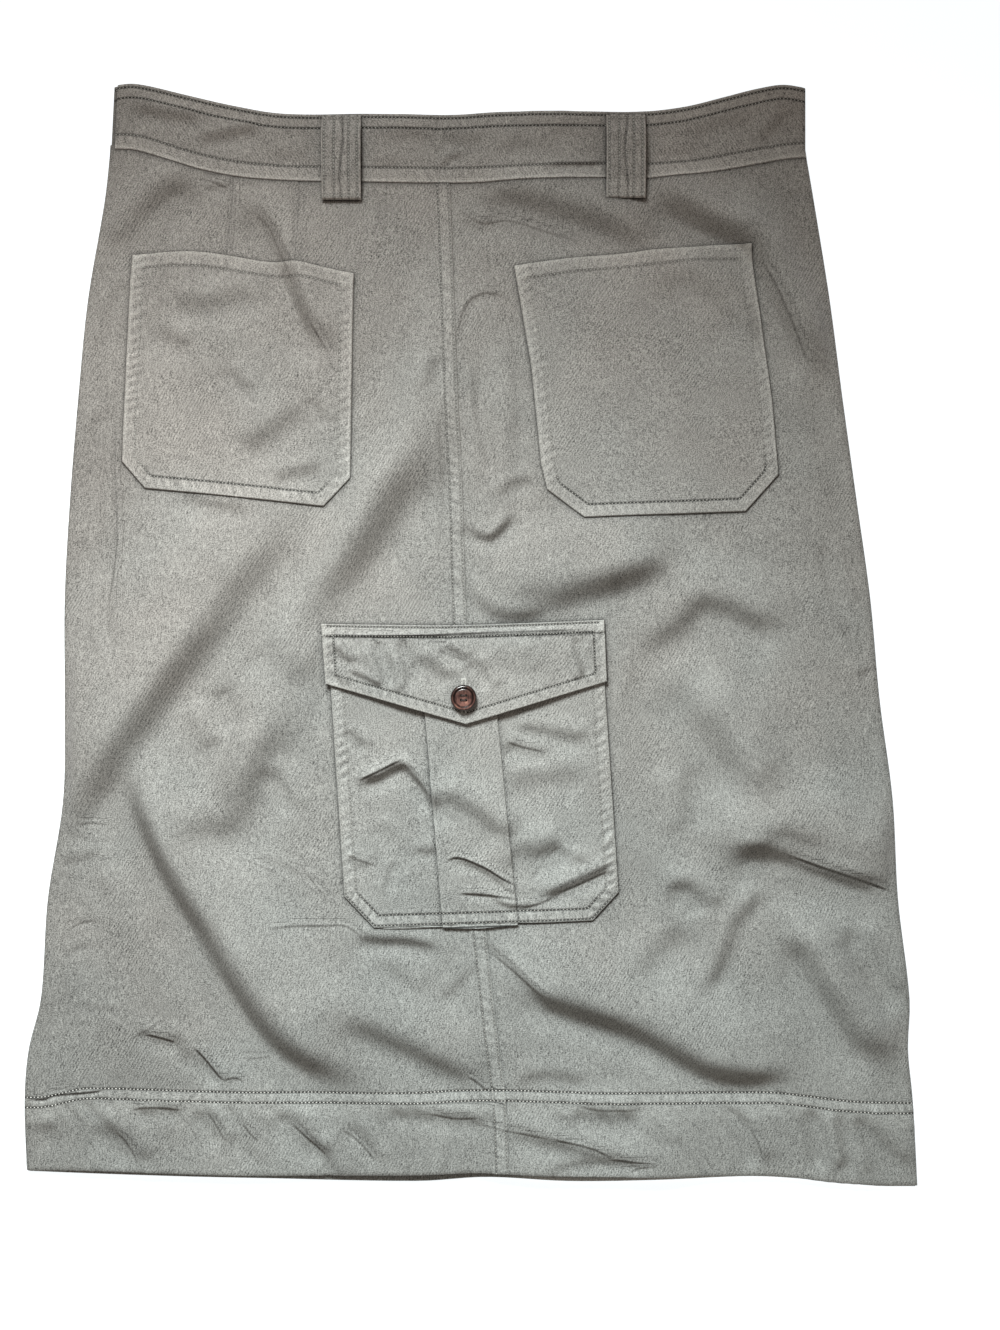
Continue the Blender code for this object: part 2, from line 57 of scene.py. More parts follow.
MM = 0.001
LENGTH = 717.0              # highest point of the waistband to the lowest point of the hem
BORDER_POINTS, CURVE_STEPS = 90, 6
FAR = 50.0                  # stands for a distance to something that isn't there
ROW_SPACING = 7.0           # what the cloth's material takes the distance of two rows to be
CREASE_REACH = 5            # a sharp crease shows no further away than this

# x of both side edges and of the centre seam, and the back's height at its two side edges.
SIDES = {
    "drop": (43, 75, 140, 205, 270, 335, 400, 465, 530, 595, 628, 660, 717),
    "left": (-234.5, -238, -249, -255.5, -261, -264.5, -264.5, -265.5, -275.5, -280, -288, -290.5,
             -288.5),
    "right": (217.5, 223, 233.5, 242, 251, 260, 266, 274.5, 278, 285.5, 284.5, 287.5, 290.5),
    "seam": (-15, -13, -10.5, -8, -5, -3, 0.5, 5, 8.5, 15, 19, 23, 25.5),
    "left_lift": (4.5, 4.5, 4.5, 4.5, 3.3, 3.1, 3.1, 3.1, 3.1, 3.1, 3.1, 3.1, 3.1),
    "right_lift": (3.7, 3.5, 3.1, 3.1, 3.1, 3.1, 3.1, 3.1, 3.1, 3.1, 3.1, 3.1, 3.1),
}
# Drops of the waistband's top and foot, and how far the front's top peeks out over the back's.
WAIST = {
    "x": (-232, -218, -186, -153, -124, -77, -15, 19, 85, 116, 140, 163, 187, 203, 217.5),
    "top": (1.5, 0.5, 8.0, 15.5, 20.3, 21.0, 22.6, 20.5, 19.6, 18.6, 15.5, 9.8, 3.6, 0.8, 2.8),
    "seam": (43, 43.7, 53.8, 61.1, 63.7, 64.8, 65.7, 65, 62.4, 62.7, 61.1, 57.2, 52.7, 49.4, 48.1),
    "peek": (0, 0.5, 0, 0, 0, 1.0, 2.0, 1.9, 1.8, 1.5, 0.8, 0, 0, 0, 0),
}
# Drops of the two layers' hems.
HEMS = {
    "x": (-288.5, -244, -182, -134, -34, 10, 63, 120, 177, 200, 235, 263, 290.5),
    "back": (706.5, 706, 708, 709, 709, 707.2, 708.5, 709.2, 709.2, 709.5, 713.7, 715.5, 716.4),
    "front": (707, 708.8, 710.8, 711.8, 713.6, 711, 713.7, 713, 710.5, 711, 714, 716.8, 717),
}


def ease(share):
    """0 to 1, level at both ends."""
    share = np.clip(share, 0.0, 1.0)
    return share * share * (3.0 - 2.0 * share)


def read(table, key, column, at):
    """A table's column, read between its rows along a soft curve."""
    keys, values = np.array(table[key], float), np.array(table[column], float)
    after = np.minimum(np.arange(len(keys)) + 1, len(keys) - 1)
    before = np.maximum(np.arange(len(keys)) - 1, 0)
    slopes = (values[after] - values[before]) / (keys[after] - keys[before])
    at = np.clip(np.asarray(at, float), keys[0], keys[-1])
    row = np.clip(np.searchsorted(keys, at, side="right") - 1, 0, len(keys) - 2)
    width, rise = keys[row + 1] - keys[row], values[row + 1] - values[row]
    share = (at - keys[row]) / width
    pulls = (1 - share) * (slopes[row] * width - rise) + share * (rise - slopes[row + 1] * width)
    return values[row] + rise * share + share * (1 - share) * pulls


def side(name, inset=0.0):
    """A side edge or the centre seam: x for a drop."""
    return lambda drop: read(SIDES, "drop", name, drop) + inset


def waist(name, lower=0.0):
    return lambda x: read(WAIST, "x", name, x) + lower


def hem(name):
    return lambda x: read(HEMS, "x", name, x)


def curved(points):
    """A smooth line through some points."""
    points = np.array(points, float)
    ends = np.vstack([2 * points[0] - points[1], points, 2 * points[-1] - points[-2]])
    line = []
    for a, b, c, d in zip(ends, ends[1:], ends[2:], ends[3:]):
        for t in np.arange(CURVE_STEPS) / CURVE_STEPS:
            line.append(0.5 * (2 * b + (c - a) * t + (2 * a - 5 * b + 4 * c - d) * t ** 2
                               + (3 * b - a - 3 * c + d) * t ** 3))
    return np.array(line + [points[-1]])


def borders(left_of, right_of, top_of, bottom_of):
    """Top, bottom, left and right edge of a panel, each as a line of places."""
    corner = {}
    for name, x_of in (("left", left_of), ("right", right_of)):
        for end, drop_of, drop in (("top", top_of, 60.0), ("bottom", bottom_of, LENGTH)):
            for _ in range(6):
                drop = float(drop_of(x_of(drop)))
            corner[name, end] = (float(x_of(drop)), drop)
    lines = []
    for end, drop_of in (("top", top_of), ("bottom", bottom_of)):
        x = np.linspace(corner["left", end][0], corner["right", end][0], BORDER_POINTS)
        lines.append(np.stack([x, drop_of(x)], axis=-1))
    for name, x_of in (("left", left_of), ("right", right_of)):
        drop = np.linspace(corner[name, "top"][1], corner[name, "bottom"][1], BORDER_POINTS)
        lines.append(np.stack([x_of(drop) + 0 * drop, drop], axis=-1))
    return lines


def spread(length, step, start, end):
    """Shares of a length: given distances from its two ends, and even steps between them."""
    low, high = np.array(start), length - np.array(end)[::-1]
    between = np.linspace(low[-1], high[0], max(round((high[0] - low[-1]) / step), 1) + 1)
    return np.concatenate([low[:-1], between, high[1:]]) / length


def edge_steps(*rows, fill=1.5):
    """Distances from an edge that follow its rounding and the groove of each row of sewing."""
    marks = [0.0, 0.12, 0.35, 0.7]
    for row in rows:
        marks += [row - 0.75, row - 0.25, row + 0.25, row + 0.75]
    marks = sorted(mark for mark in marks if mark >= 0.0)
    steps = [marks[0]]
    for mark in marks[1:]:
        if mark - steps[-1] < 0.1:
            continue
        count = max(math.ceil((mark - steps[-1]) / fill), 1)
        steps += list(np.linspace(steps[-1], mark, count + 1)[1:])
    return steps


def along_line(line, shares):
    """Places at given shares of a line's length; a line of few points keeps its corners."""
    line = np.array(line, float)
    gone = np.concatenate([[0.0], np.cumsum(np.hypot(*np.diff(line, axis=0).T))])
    gone /= gone[-1]
    at = np.array(shares)
    if len(line) < 8:
        for bend in gone[1:-1]:
            at[np.abs(at - bend).argmin()] = bend
    return np.stack([np.interp(at, gone, line[:, axis]) for axis in (0, 1)], axis=-1)


def patch(lines, across, down):
    """x and drop of a grid of places that fills the space between four edges."""
    top, bottom = (along_line(line, across)[None] for line in lines[:2])
    left, right = (along_line(line, down)[:, None] for line in lines[2:])
    u, v = across[None, :, None], down[:, None, None]
    corners = ((1 - u) * (1 - v) * top[:, :1] + u * (1 - v) * top[:, -1:]
               + (1 - u) * v * bottom[:, :1] + u * v * bottom[:, -1:])
    grid = (1 - v) * top + v * bottom + (1 - u) * left + u * right - corners
    return grid[..., 0], grid[..., 1]


def walk(x, drop, line):
    """How far along a line the nearest point to each place is, and how far right of it that is."""
    x, drop = np.asarray(x, float), np.asarray(drop, float)
    nearest, along, off = (np.full(x.shape, value) for value in (1e9, 0.0, 1e9))
    gone = 0.0
    for (ax, ay), (bx, by) in zip(line, line[1:]):
        run_x, run_y = bx - ax, by - ay
        length = math.hypot(run_x, run_y)
        if length == 0:
            continue
        share = np.clip(((x - ax) * run_x + (drop - ay) * run_y) / length ** 2, 0, 1)
        off_x, off_y = x - ax - share * run_x, drop - ay - share * run_y
        gap = np.hypot(off_x, off_y)
        near = gap < nearest
        nearest = np.where(near, gap, nearest)
        along = np.where(near, gone + share * length, along)
        off = np.where(near, np.where(run_x * off_y - run_y * off_x > 0, gap, -gap), off)
        gone += length
    return along, off, gone


def wobble(at, size, seed):
    """Soft uneven curve between -1 and 1 along a length."""
    values = np.random.default_rng(seed).uniform(-1, 1, 4000)
    at = np.asarray(at) / size + 300.0
    cell = np.floor(at).astype(int)
    share = ease(at - cell)
    return values[cell % 4000] * (1 - share) + values[(cell + 1) % 4000] * share


def unevenness(x, drop, size, seed):
    """Soft uneven surface between -1 and 1."""
    values = np.random.default_rng(seed).uniform(-1, 1, (256, 256))
    column, row = x / size + 100.0, drop / size + 100.0
    i, j = np.floor(column).astype(int), np.floor(row).astype(int)
    u, v = ease(column - i), ease(row - j)
    i, j = i % 255, j % 255
    upper = values[j, i] * (1 - u) + values[j, i + 1] * u
    lower = values[j + 1, i] * (1 - u) + values[j + 1, i + 1] * u
    return upper * (1 - v) + lower * v


def rounded(distance, radius, depth):
    """How far cloth falls away towards an edge that is folded over."""
    share = np.clip(distance / radius, 0, 1)
    return depth * (1 - np.sqrt(np.maximum(1 - (1 - share) ** 2, 0)))


def furrows(distance, *rows, half=0.75):
    """0 to 1 in the furrows that rows of sewing press into the cloth."""
    return sum(np.clip(1 - np.abs(distance - row) / half, 0, 1) for row in rows)


def puckers(along, off, near, far, period, rise, slant, seed):
    """Ripples across a seam: near and far are how far they reach on its left and right."""
    reach = np.where(off > 0, off / far, -off / near)
    phase = (along + slant * off) / period + 0.55 * wobble(along, 2.3 * period, seed)
    swell = 0.62 + 0.38 * wobble(along, 3.1 * period, seed + 1)
    return rise * ease(1 - reach) * swell * np.sin(math.tau * phase)


def faded(share, start, end):
    """1 along a line, down to 0 over these shares of its length at its start and its end."""
    return ease(share / start) * ease((1 - share) / end)


def close_to(line, x, drop, reach):
    """Which places are within reach of the box round a line."""
    low, high = line.min(axis=0) - reach, line.max(axis=0) + reach
    return (x > low[0]) & (x < high[0]) & (drop > low[1]) & (drop < high[1])


def pressed(x, drop, creases):
    """How far right of the nearest sharp crease each place is, and how sharp that crease is."""
    beside_it, sharpness = np.full(x.shape, FAR), np.zeros(x.shape)
    for points, sharp in creases:
        line = curved(points)
        near = close_to(line, x, drop, CREASE_REACH + 1)
        if near.any():
            along, off, total = walk(x[near], drop[near], line)
            closer = np.abs(off) < np.minimum(np.abs(beside_it[near]), CREASE_REACH)
            beside_it[near] = np.where(closer, off, beside_it[near])
            sharpness[near] = np.where(closer, sharp * faded(along / total, 0.2, 0.2),
                                       sharpness[near])
    return beside_it, sharpness


def row_places(distance, rows):
    """Distances from an edge, fitted so that its two rows of sewing are at 0 and ROW_SPACING."""
    return (distance - rows[0]) * ROW_SPACING / (rows[-1] - rows[0])


def rows_nearby(first, first_rows, second, second_rows):
    """row_places from the nearer of two sewn edges."""
    return np.where(first < second, row_places(first, first_rows),
                    row_places(second, second_rows))


def choose(*pieces):
    """Select these pieces and no others, with the last one active."""
    bpy.ops.object.select_all(action="DESELECT")
    for piece in pieces:
        piece.select_set(True)
        bpy.context.view_layer.objects.active = piece


def lay_cloth(name, x, drop, height, wall, finish, wear=0.0, sewn=FAR, depth=0.0, creases=()):
    """Cloth through a grid of places, with its outer face at a height above the table.

    wear is how much paler it is, from its wear and from painted light and shade, sewn the
    distance from its rows of sewing (see row_places), depth how deep those rows are and how dark
    the painted shade in them is, and creases are the ones pressed sharp into it, each with a
    painted dark line of shade along it.
    """
    crease_off, crease_sharp = pressed(x, drop, creases)
    rows, columns = x.shape
    choose()
    bpy.ops.mesh.primitive_grid_add(x_subdivisions=columns - 1, y_subdivisions=rows - 1, size=1)
    piece = bpy.context.object
    piece.name = piece.data.name = name
    points = np.stack([x * MM, (LENGTH / 2 - drop) * MM, height * MM], axis=-1)
    piece.data.vertices.foreach_set("co", points[::-1].reshape(-1))
    for layer, values in (("wear", wear), ("outside", FAR), ("sewn", sewn), ("row_depth", depth),
                          ("crease_off", crease_off), ("crease_sharp", crease_sharp)):
        layer = piece.data.attributes.new(layer, "FLOAT", "POINT")
        layer.data.foreach_set("value", (np.zeros(x.shape) + values)[::-1].reshape(-1))
    if wall:
        thicken = piece.modifiers.new("wall", "SOLIDIFY")
        thicken.thickness = wall * MM
        thicken.offset = -1.0
        bpy.ops.object.modifier_apply(modifier=thicken.name)
    bpy.ops.object.shade_smooth_by_angle(angle=math.radians(60))
    piece.data.materials.append(finish)
    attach(piece, "root")
    return piece


def keep_off_table(piece):
    """Raise what a wall pushed too near to the table's face, or under it."""
    points = np.empty(len(piece.data.vertices) * 3)
    piece.data.vertices.foreach_get("co", points)
    points[2::3] = np.maximum(points[2::3], FRONT_FOOT * MM)
    piece.data.vertices.foreach_set("co", points)


def sewing(along, distance, rows, period, rise, seed, pale):
    """Height and wear of a sewn edge: furrows, ripples and a pale line along its outer row."""
    middle = (rows[0] + rows[-1]) / 2
    ripple = rise * puckers(along, distance - middle, middle + 1, 1.7 * middle, period, 1.0, 0.45,
                            seed)
    strip = ease(1 - (distance - rows[-1]) / 1.2)
    outer_row = np.exp(-((distance - rows[0]) / 0.85) ** 2)
    return ripple - 0.15 * furrows(distance, *rows), pale * outer_row + 0.62 * ripple + 0.12 * strip


def note_painted_shade_beside(outline, *pieces):
    """Note on the pieces underneath how far outside a sewn-on piece's outline each point is, for
    the painted shade beside it.
    """
    outline = [*outline, outline[0]]
    for piece in pieces:
        points = np.empty(len(piece.data.vertices) * 3)
        piece.data.vertices.foreach_get("co", points)
        x, drop = points[0::3] / MM, LENGTH / 2 - points[1::3] / MM
        values = np.empty(len(x))
        layer = piece.data.attributes["outside"].data
        layer.foreach_get("value", values)
        under = np.zeros(len(x), bool)
        for (ax, ay), (bx, by) in zip(outline, outline[1:]):
            if ay != by:
                crossing = ax + (drop - ay) * (bx - ax) / (by - ay)
                under ^= ((ay > drop) != (by > drop)) & (x < crossing)
        outside = np.abs(walk(x, drop, outline)[1])
        layer.foreach_set("value", np.minimum(values, np.where(under, -outside, outside)))


def node(tree, kind, inputs=None, **settings):
    """A shader node with its settings, and its inputs set or linked."""
    made = tree.nodes.new("ShaderNode" + kind)
    for name, value in settings.items():
        setattr(made, name, value)
    for name, value in (inputs or {}).items():
        if isinstance(value, bpy.types.NodeSocket):
            tree.links.new(value, made.inputs[name])
        else:
            made.inputs[name].default_value = value
    return made


def maths(operation, *values):
    """A sum or other operation, in the node tree of its first linked value."""
    tree = next(value.id_data for value in values if isinstance(value, bpy.types.NodeSocket))
    return node(tree, "Math", dict(enumerate(values)), operation=operation).outputs[0]


def mixed(tree, share, first, second, blend_type="MIX"):
    made = node(tree, "Mix", {0: share, 6: first, 7: second}, data_type="RGBA",
                blend_type=blend_type)
    return made.outputs[2]


def scaled(tree, colour, share):
    return node(tree, "VectorMath", {0: colour, 3: share}, operation="SCALE").outputs[0]


def bump(tree, height, strength, distance, **below):
    return node(tree, "Bump", {"Height": height, "Strength": strength, "Distance": distance,
                               **below}).outputs[0]


def material(name, settings):
    """A material with its shader's settings: the material, its node tree and its shader."""
    made = bpy.data.materials.new(name)
    made.use_nodes = True
    shader = made.node_tree.nodes["Principled BSDF"]
    for socket, value in settings.items():
        shader.inputs[socket].default_value = value
    return made, made.node_tree, shader


def effect(name, inputs, outputs):
    """An empty shader node group with its sockets, and its two end nodes."""
    tree = bpy.data.node_groups.new(name, "ShaderNodeTree")
    for socket, kind, value in inputs:
        made = tree.interface.new_socket(socket, in_out="INPUT", socket_type="NodeSocket" + kind)
        made.default_value = value
    for socket, kind in outputs:
        tree.interface.new_socket(socket, in_out="OUTPUT", socket_type="NodeSocket" + kind)
    return tree, tree.nodes.new("NodeGroupInput"), tree.nodes.new("NodeGroupOutput")


def noise(tree, place, scale, detail, stretch=None):
    if stretch:
        place = node(tree, "Mapping", {"Vector": place, "Scale": stretch}).outputs[0]
    made = node(tree, "TexNoise", {"Vector": place, "Scale": scale, "Detail": detail})
    return made.outputs["Fac"]


# Twill weave: steep diagonal ribs, uneven yarns, the patchy fading of a washed garment, and the
# paler wear and painted light and shade that each piece gives it. Painted shade makes a dark line
# beside a sewn-on piece, along its two rows of sewing and along its sharp creases; the rows and
# creases also shape the cloth a little.
GREEN, TAUPE = (0.301, 0.310, 0.301), (0.326, 0.304, 0.286)
ROW_HALF, CREASE_HALF, CREASE_STEP_HALF = 0.75, 0.8, 1.4

weave, weave_in, weave_out = effect(
    "washed_twill",
    (("Turn", "Float", 0.0), ("Wear", "Float", 0.0), ("Outside", "Float", FAR),
     ("Sewn", "Float", FAR), ("Row Depth", "Float", 0.0), ("Crease Off", "Float", FAR),
     ("Crease Sharp", "Float", 0.0), ("Green", "Color", (*GREEN, 1)),
     ("Taupe", "Color", (*TAUPE, 1))),
    (("Color", "Color"), ("Height", "Float"), ("Form", "Float")))
given = weave_in.outputs
cloth_place = node(weave, "TexCoord").outputs["Object"]
turned = node(weave, "VectorRotate", {"Vector": cloth_place, "Angle": given["Turn"]},
              rotation_type="Z_AXIS").outputs[0]
ribs = node(weave, "TexWave", {"Vector": turned, "Scale": 168.0, "Distortion": 1.8, "Detail": 1.0,
                               "Detail Scale": 1.7}).outputs["Fac"]
yarns = noise(weave, cloth_place, 1.0, 1.0, (1500, 260, 400))
specks = noise(weave, cloth_place, 1500, 1.0)
patches = noise(weave, cloth_place, 44, 3.0)
fading = noise(weave, cloth_place, 9, 2.0)
tint = noise(weave, cloth_place, 13, 2.0)
tone = 1.0
for part, amount in ((yarns, 1.0), (specks, 2.6), (patches, 0.3), (fading, 0.3)):
    tone = maths("ADD", tone, maths("MULTIPLY_ADD", part, amount, -amount / 2))
shows = node(weave, "MapRange", {"Value": noise(weave, cloth_place, 24, 2.0), "From Min": 0.42,
                                 "From Max": 0.66, "To Min": 0.02, "To Max": 0.38}).outputs[0]
tone = maths("MULTIPLY_ADD", maths("SUBTRACT", ribs, 0.5), shows, tone)
worn_and_shaded = maths("MULTIPLY", given["Wear"], maths("MULTIPLY_ADD", specks, 1.2, 0.4))
tone = maths("ADD", tone, worn_and_shaded)


def with_painted_shade(by, amount):
    """The tone with a painted dark line of shade of some depth across it."""
    return maths("MULTIPLY", tone, maths("MULTIPLY_ADD", by, -amount, 1.0))


def hollow(distance, place, half):
    """1 along a line at a place on a distance, and 0 beside it."""
    off = maths("MULTIPLY", maths("SUBTRACT", distance, place), 1 / half)
    return maths("EXPONENT", maths("MULTIPLY", maths("MULTIPLY", off, off), -1.0))


# painted shade: a dark line close outside each sewn-on piece
painted_edge_shade = maths("EXPONENT", maths("MULTIPLY", maths("MAXIMUM", given["Outside"], 0.0), -0.9))
tone = with_painted_shade(painted_edge_shade, 0.7)
# painted shade in the furrows of the two rows of sewing, which also shape the cloth
both_rows = maths("ADD", *(hollow(given["Sewn"], place, ROW_HALF) for place in (0.0, ROW_SPACING)))
rows = maths("MULTIPLY", given["Row Depth"], both_rows)
tone = with_painted_shade(rows, 0.92)
# painted shade along the sharp creases; the step below shapes the cloth
crease_shade = maths("MULTIPLY", given["Crease Sharp"],
                    hollow(given["Crease Off"], 0.0, CREASE_HALF))
tone = with_painted_shade(crease_shade, 0.42)
step = maths("MULTIPLY", maths("MULTIPLY", given["Crease Off"], -1.2), maths(
    "MULTIPLY", given["Crease Sharp"], hollow(given["Crease Off"], 0.0, CREASE_STEP_HALF)))
weave.links.new(maths("MULTIPLY_ADD", rows, -0.22, step), weave_out.inputs["Form"])

# The cloth is greener towards the hem and browner towards the waist and the left, a painted warm
# cast of shade.
place_parts = node(weave, "SeparateXYZ", {0: cloth_place}).outputs
upward = maths("MULTIPLY", place_parts["Y"], 1.1)
to_left = maths("MAXIMUM", maths("MULTIPLY", place_parts["X"], -1.0), 0.0)
tint = maths("ADD", maths("MULTIPLY_ADD", tint, 0.6, to_left), upward)
browner = node(weave, "MapRange", {"Value": tint, "From Min": 0.05, "From Max": 0.72}).outputs[0]
dyed = mixed(weave, browner, given["Green"], given["Taupe"])
weave.links.new(scaled(weave, dyed, tone), weave_out.inputs["Color"])
weave.links.new(maths("ADD", maths("MULTIPLY", ribs, 0.6), maths("MULTIPLY", yarns, 0.8)),
                weave_out.inputs["Height"])


def twill(name, turn, fade=1.0):
    """Matte cotton twill; turn is how far its ribs lean from upright, in degrees."""
    made, tree, shader = material(name, {"Roughness": 0.96, "Specular IOR Level": 0.08,
                                         "Sheen Weight": 0.03, "Sheen Roughness": 0.8})
    cloth = tree.nodes.new("ShaderNodeGroup")
    cloth.node_tree = weave
    cloth.inputs["Turn"].default_value = math.radians(turn)
    for socket, colour in (("Green", GREEN), ("Taupe", TAUPE)):
        cloth.inputs[socket].default_value = (*(share * fade for share in colour), 1)
    for socket in ("Wear", "Outside", "Sewn", "Row Depth", "Crease Off", "Crease Sharp"):
        layer = node(tree, "Attribute", attribute_name=socket.lower().replace(" ", "_"))
        tree.links.new(layer.outputs["Fac"], cloth.inputs[socket])
    tree.links.new(cloth.outputs["Color"], shader.inputs["Base Color"])
    form = bump(tree, cloth.outputs["Form"], 1.0, 0.001)
    tree.links.new(bump(tree, cloth.outputs["Height"], 0.7, 0.00012, Normal=form),
                   shader.inputs["Normal"])
    return made


def spun(name, dark, light):
    """Spun cotton thread with twisted fibres, each stitch a little different."""
    made, tree, shader = material(name, {"Roughness": 0.75, "Sheen Weight": 0.2})
    place = node(tree, "TexCoord").outputs["Object"]
    fibre = node(tree, "TexWave", {"Vector": place, "Scale": 620.0, "Distortion": 3.0},
                 bands_direction="DIAGONAL").outputs["Fac"]
    tone = mixed(tree, noise(tree, place, 260, 2.0), (*dark, 1), (*light, 1))
    grey = node(tree, "CombineColor", {0: fibre, 1: fibre, 2: fibre}).outputs[0]
    tree.links.new(mixed(tree, 0.35, tone, grey, "MULTIPLY"), shader.inputs["Base Color"])
    tree.links.new(bump(tree, fibre, 0.5, 0.0001), shader.inputs["Normal"])
    return made


thread = spun("sewing_thread", (0.50, 0.495, 0.46), (0.74, 0.73, 0.68))
hem_thread = spun("hem_thread", (0.82, 0.81, 0.77), (1.0, 0.99, 0.95))

# One stitch, 1 mm long, wide and high before it is fitted to its row.
choose()
bpy.ops.mesh.primitive_uv_sphere_add(segments=6, ring_count=5, radius=0.5,
                                     rotation=(0, math.pi / 2, 0))
stitch = bpy.context.object
bpy.ops.object.transform_apply(location=False, rotation=True)
STITCH_POINTS = np.array([vert.co for vert in stitch.data.vertices])
STITCH_POINTS[:, 2] -= 2.2 * STITCH_POINTS[:, 0] ** 2
STITCH_FACES = [tuple(face.vertices) for face in stitch.data.polygons]
bpy.data.objects.remove(stitch)


def tree_of(*pieces):
    """Search tree over finished pieces."""
    points, faces = [], []
    for piece in pieces:
        start = len(points)
        points += [vert.co.copy() for vert in piece.data.vertices]
        faces += [[start + corner for corner in face.vertices] for face in piece.data.polygons]
    return BVHTree.FromPolygons(points, faces)


def scatter(name, shapes, shape_faces, finish):
    """One piece out of many small shapes of the same kind."""
    faces = [[number * len(shape) + corner for corner in face]
             for number, shape in enumerate(shapes) for face in shape_faces]
    mesh = bpy.data.meshes.new(name)
    mesh.from_pydata(np.concatenate(shapes).tolist(), [], faces)
    mesh.materials.append(finish)
    piece = bpy.data.objects.new(name, mesh)
    scene.collection.objects.link(piece)
    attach(piece, "root")
    return piece


def sew(name, lines, on, seed, pitch=2.35, size=(1.35, 0.66, 0.6), lean=4.0, sink=0.02,
        below=False, finish=thread):
    """Rows of stitches along lines of places, each stitch set on the cloth under it.

    pitch is the distance from one stitch to the next, size a stitch's length, width and height,
    lean how far it turns from its row in degrees, and sink how deep it sits in the cloth. below
    sews the underside.
    """
    chance = np.random.default_rng(seed)
    shapes = []
    for line in lines:
        line = np.array(line, float)
        gone = np.concatenate([[0.0], np.cumsum(np.hypot(*np.diff(line, axis=0).T))])
        count = max(int(gone[-1] / pitch), 1)
        at = (np.arange(count) + 0.5) * gone[-1] / count
        ends = [np.stack([np.interp(at + step, gone, line[:, axis]) for axis in (0, 1)], axis=-1)
                for step in (-0.4, 0.4)]
        for before, after in zip(*ends):
            middle, run = (before + after) / 2, after - before
            start = Vector((middle[0] * MM, (LENGTH / 2 - middle[1]) * MM, -0.1 if below else 0.1))
            spot, face, _, _ = on.ray_cast(start, Vector((0, 0, 1 if below else -1)))
            turn = math.radians(chance.normal(lean, 1.6))
            stretch = chance.normal(1.0, 0.05)
            lift = chance.normal(0.0, 0.03)
            if spot is None:
                continue
            up = face if (face.z < 0) == below else -face
            along = Vector((run[0], -run[1], 0)).normalized()
            along = (along - up * along.dot(up)).normalized()
            across = up.cross(along)
            along = along * math.cos(turn) + across * math.sin(turn)
            across = up.cross(along)
            shape = STITCH_POINTS * np.array([size[0] * stretch, size[1], size[2]]) * MM
            shapes.append(shape @ np.array([along, across, up])
                          + np.array(spot + up * (lift - sink) * MM))
    piece = scatter(name, shapes, STITCH_FACES, finish)
    piece.data.shade_smooth()
    return piece


def beside(line, distance):
    """The line moved to its right by a distance."""
    line = np.array(line, float)
    run = np.gradient(line, axis=0)
    run /= np.hypot(run[:, 0], run[:, 1])[:, None]
    return line + distance * np.stack([-run[:, 1], run[:, 0]], axis=-1)


FRONT_WALL = 1.0
FRONT_INSET = 1.3           # the back folds down over the front's side edges
FRONT_FOOT = 0.25           # the stitches stand this far out of the front's underside
FRONT_STEP = 7.0            # between the grid's lines
UNDER_BAND = 3.0            # the panels reach this far up under the waistband
HEM_ROWS = (47.2, 53.7)     # how far above its fold the hem is sewn
HEM_LAYER = 0.6             # the turned-up cloth adds this to the height
FRONT_CREASES = (
    ((-190, 180), (-120, 260), (-60, 300), 22, 0.9), ((60, 120), (120, 190), (190, 230), 26, 0.8),
    ((-210, 420), (-110, 470), (-20, 560), 30, 1.0), ((20, 400), (110, 440), (200, 420), 26, 0.8),
    ((-150, 560), (-70, 600), (10, 615), 24, 0.9), ((70, 540), (150, 590), (220, 610), 28, 1.0),
)

front_lines = borders(side("left", FRONT_INSET), side("right", -FRONT_INSET),
                      waist("seam", -UNDER_BAND), hem("front"))
across = spread(500, FRONT_STEP, edge_steps(), edge_steps())
down = spread(650, FRONT_STEP, (0.0,), edge_steps(*HEM_ROWS, fill=3.0))
x, drop = patch(front_lines, across, down)
_, from_hem, from_left, from_right = (np.abs(walk(x, drop, line)[1]) for line in front_lines)
from_edge = np.minimum(from_left, from_right)
height = FRONT_FOOT + FRONT_WALL + HEM_LAYER * (1 - ease((from_hem - 50) / 4))
for start, bend, end, reach, rise in FRONT_CREASES:
    off = walk(x, drop, curved((start, bend, end)))[1]
    height += (rise * np.cos(np.pi / 2 * np.clip(off / reach, -1, 1)) ** 2
               * ease(from_hem / 90 - 0.6))
height -= rounded(from_hem, 1.0, 0.9) + rounded(from_edge, 0.8, 0.5)
# painted light on the strip of the front's hem that peeks out from the back's shadow
painted_light_on_peek = ease((x - 20) / 30) * ease(1.6 - from_hem / 3)
front = lay_cloth("front_panel", x, drop, height, FRONT_WALL, twill("twill_front", 28, 0.93),
                  0.10 * np.exp(-from_hem / 1.5) + 1.2 * painted_light_on_peek)
keep_off_table(front)
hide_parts("front")
front_tree = tree_of(front)
sew("front_hem_stitches", [beside(front_lines[1], -row) for row in HEM_ROWS], front_tree, 11,
    below=True)


# ---- front waistband ----
# A curved band of two layers of twill, sewn along both edges. It lies under the back's band, a
# little higher in the middle, and its open end shows at the left.

BAND_ROWS_TOP = (2.6, 9.3)  # from the band's top, and below from its foot
BAND_ROWS_FOOT = (1.3, 9.4)
FRONT_BAND_TOP, FRONT_BAND_WALL = 2.0, 1.7


def front_top(x):
    return read(WAIST, "x", "top", x) - read(WAIST, "x", "peek", x)


def front_band_end(drop):
    return -232.4 - 0.05 * (drop - 8)


def rows_of_band(lines):
    """The rows of sewing inside a band's top and foot."""
    return ([beside(lines[0], row) for row in BAND_ROWS_TOP]
            + [beside(lines[1], -row) for row in BAND_ROWS_FOOT])


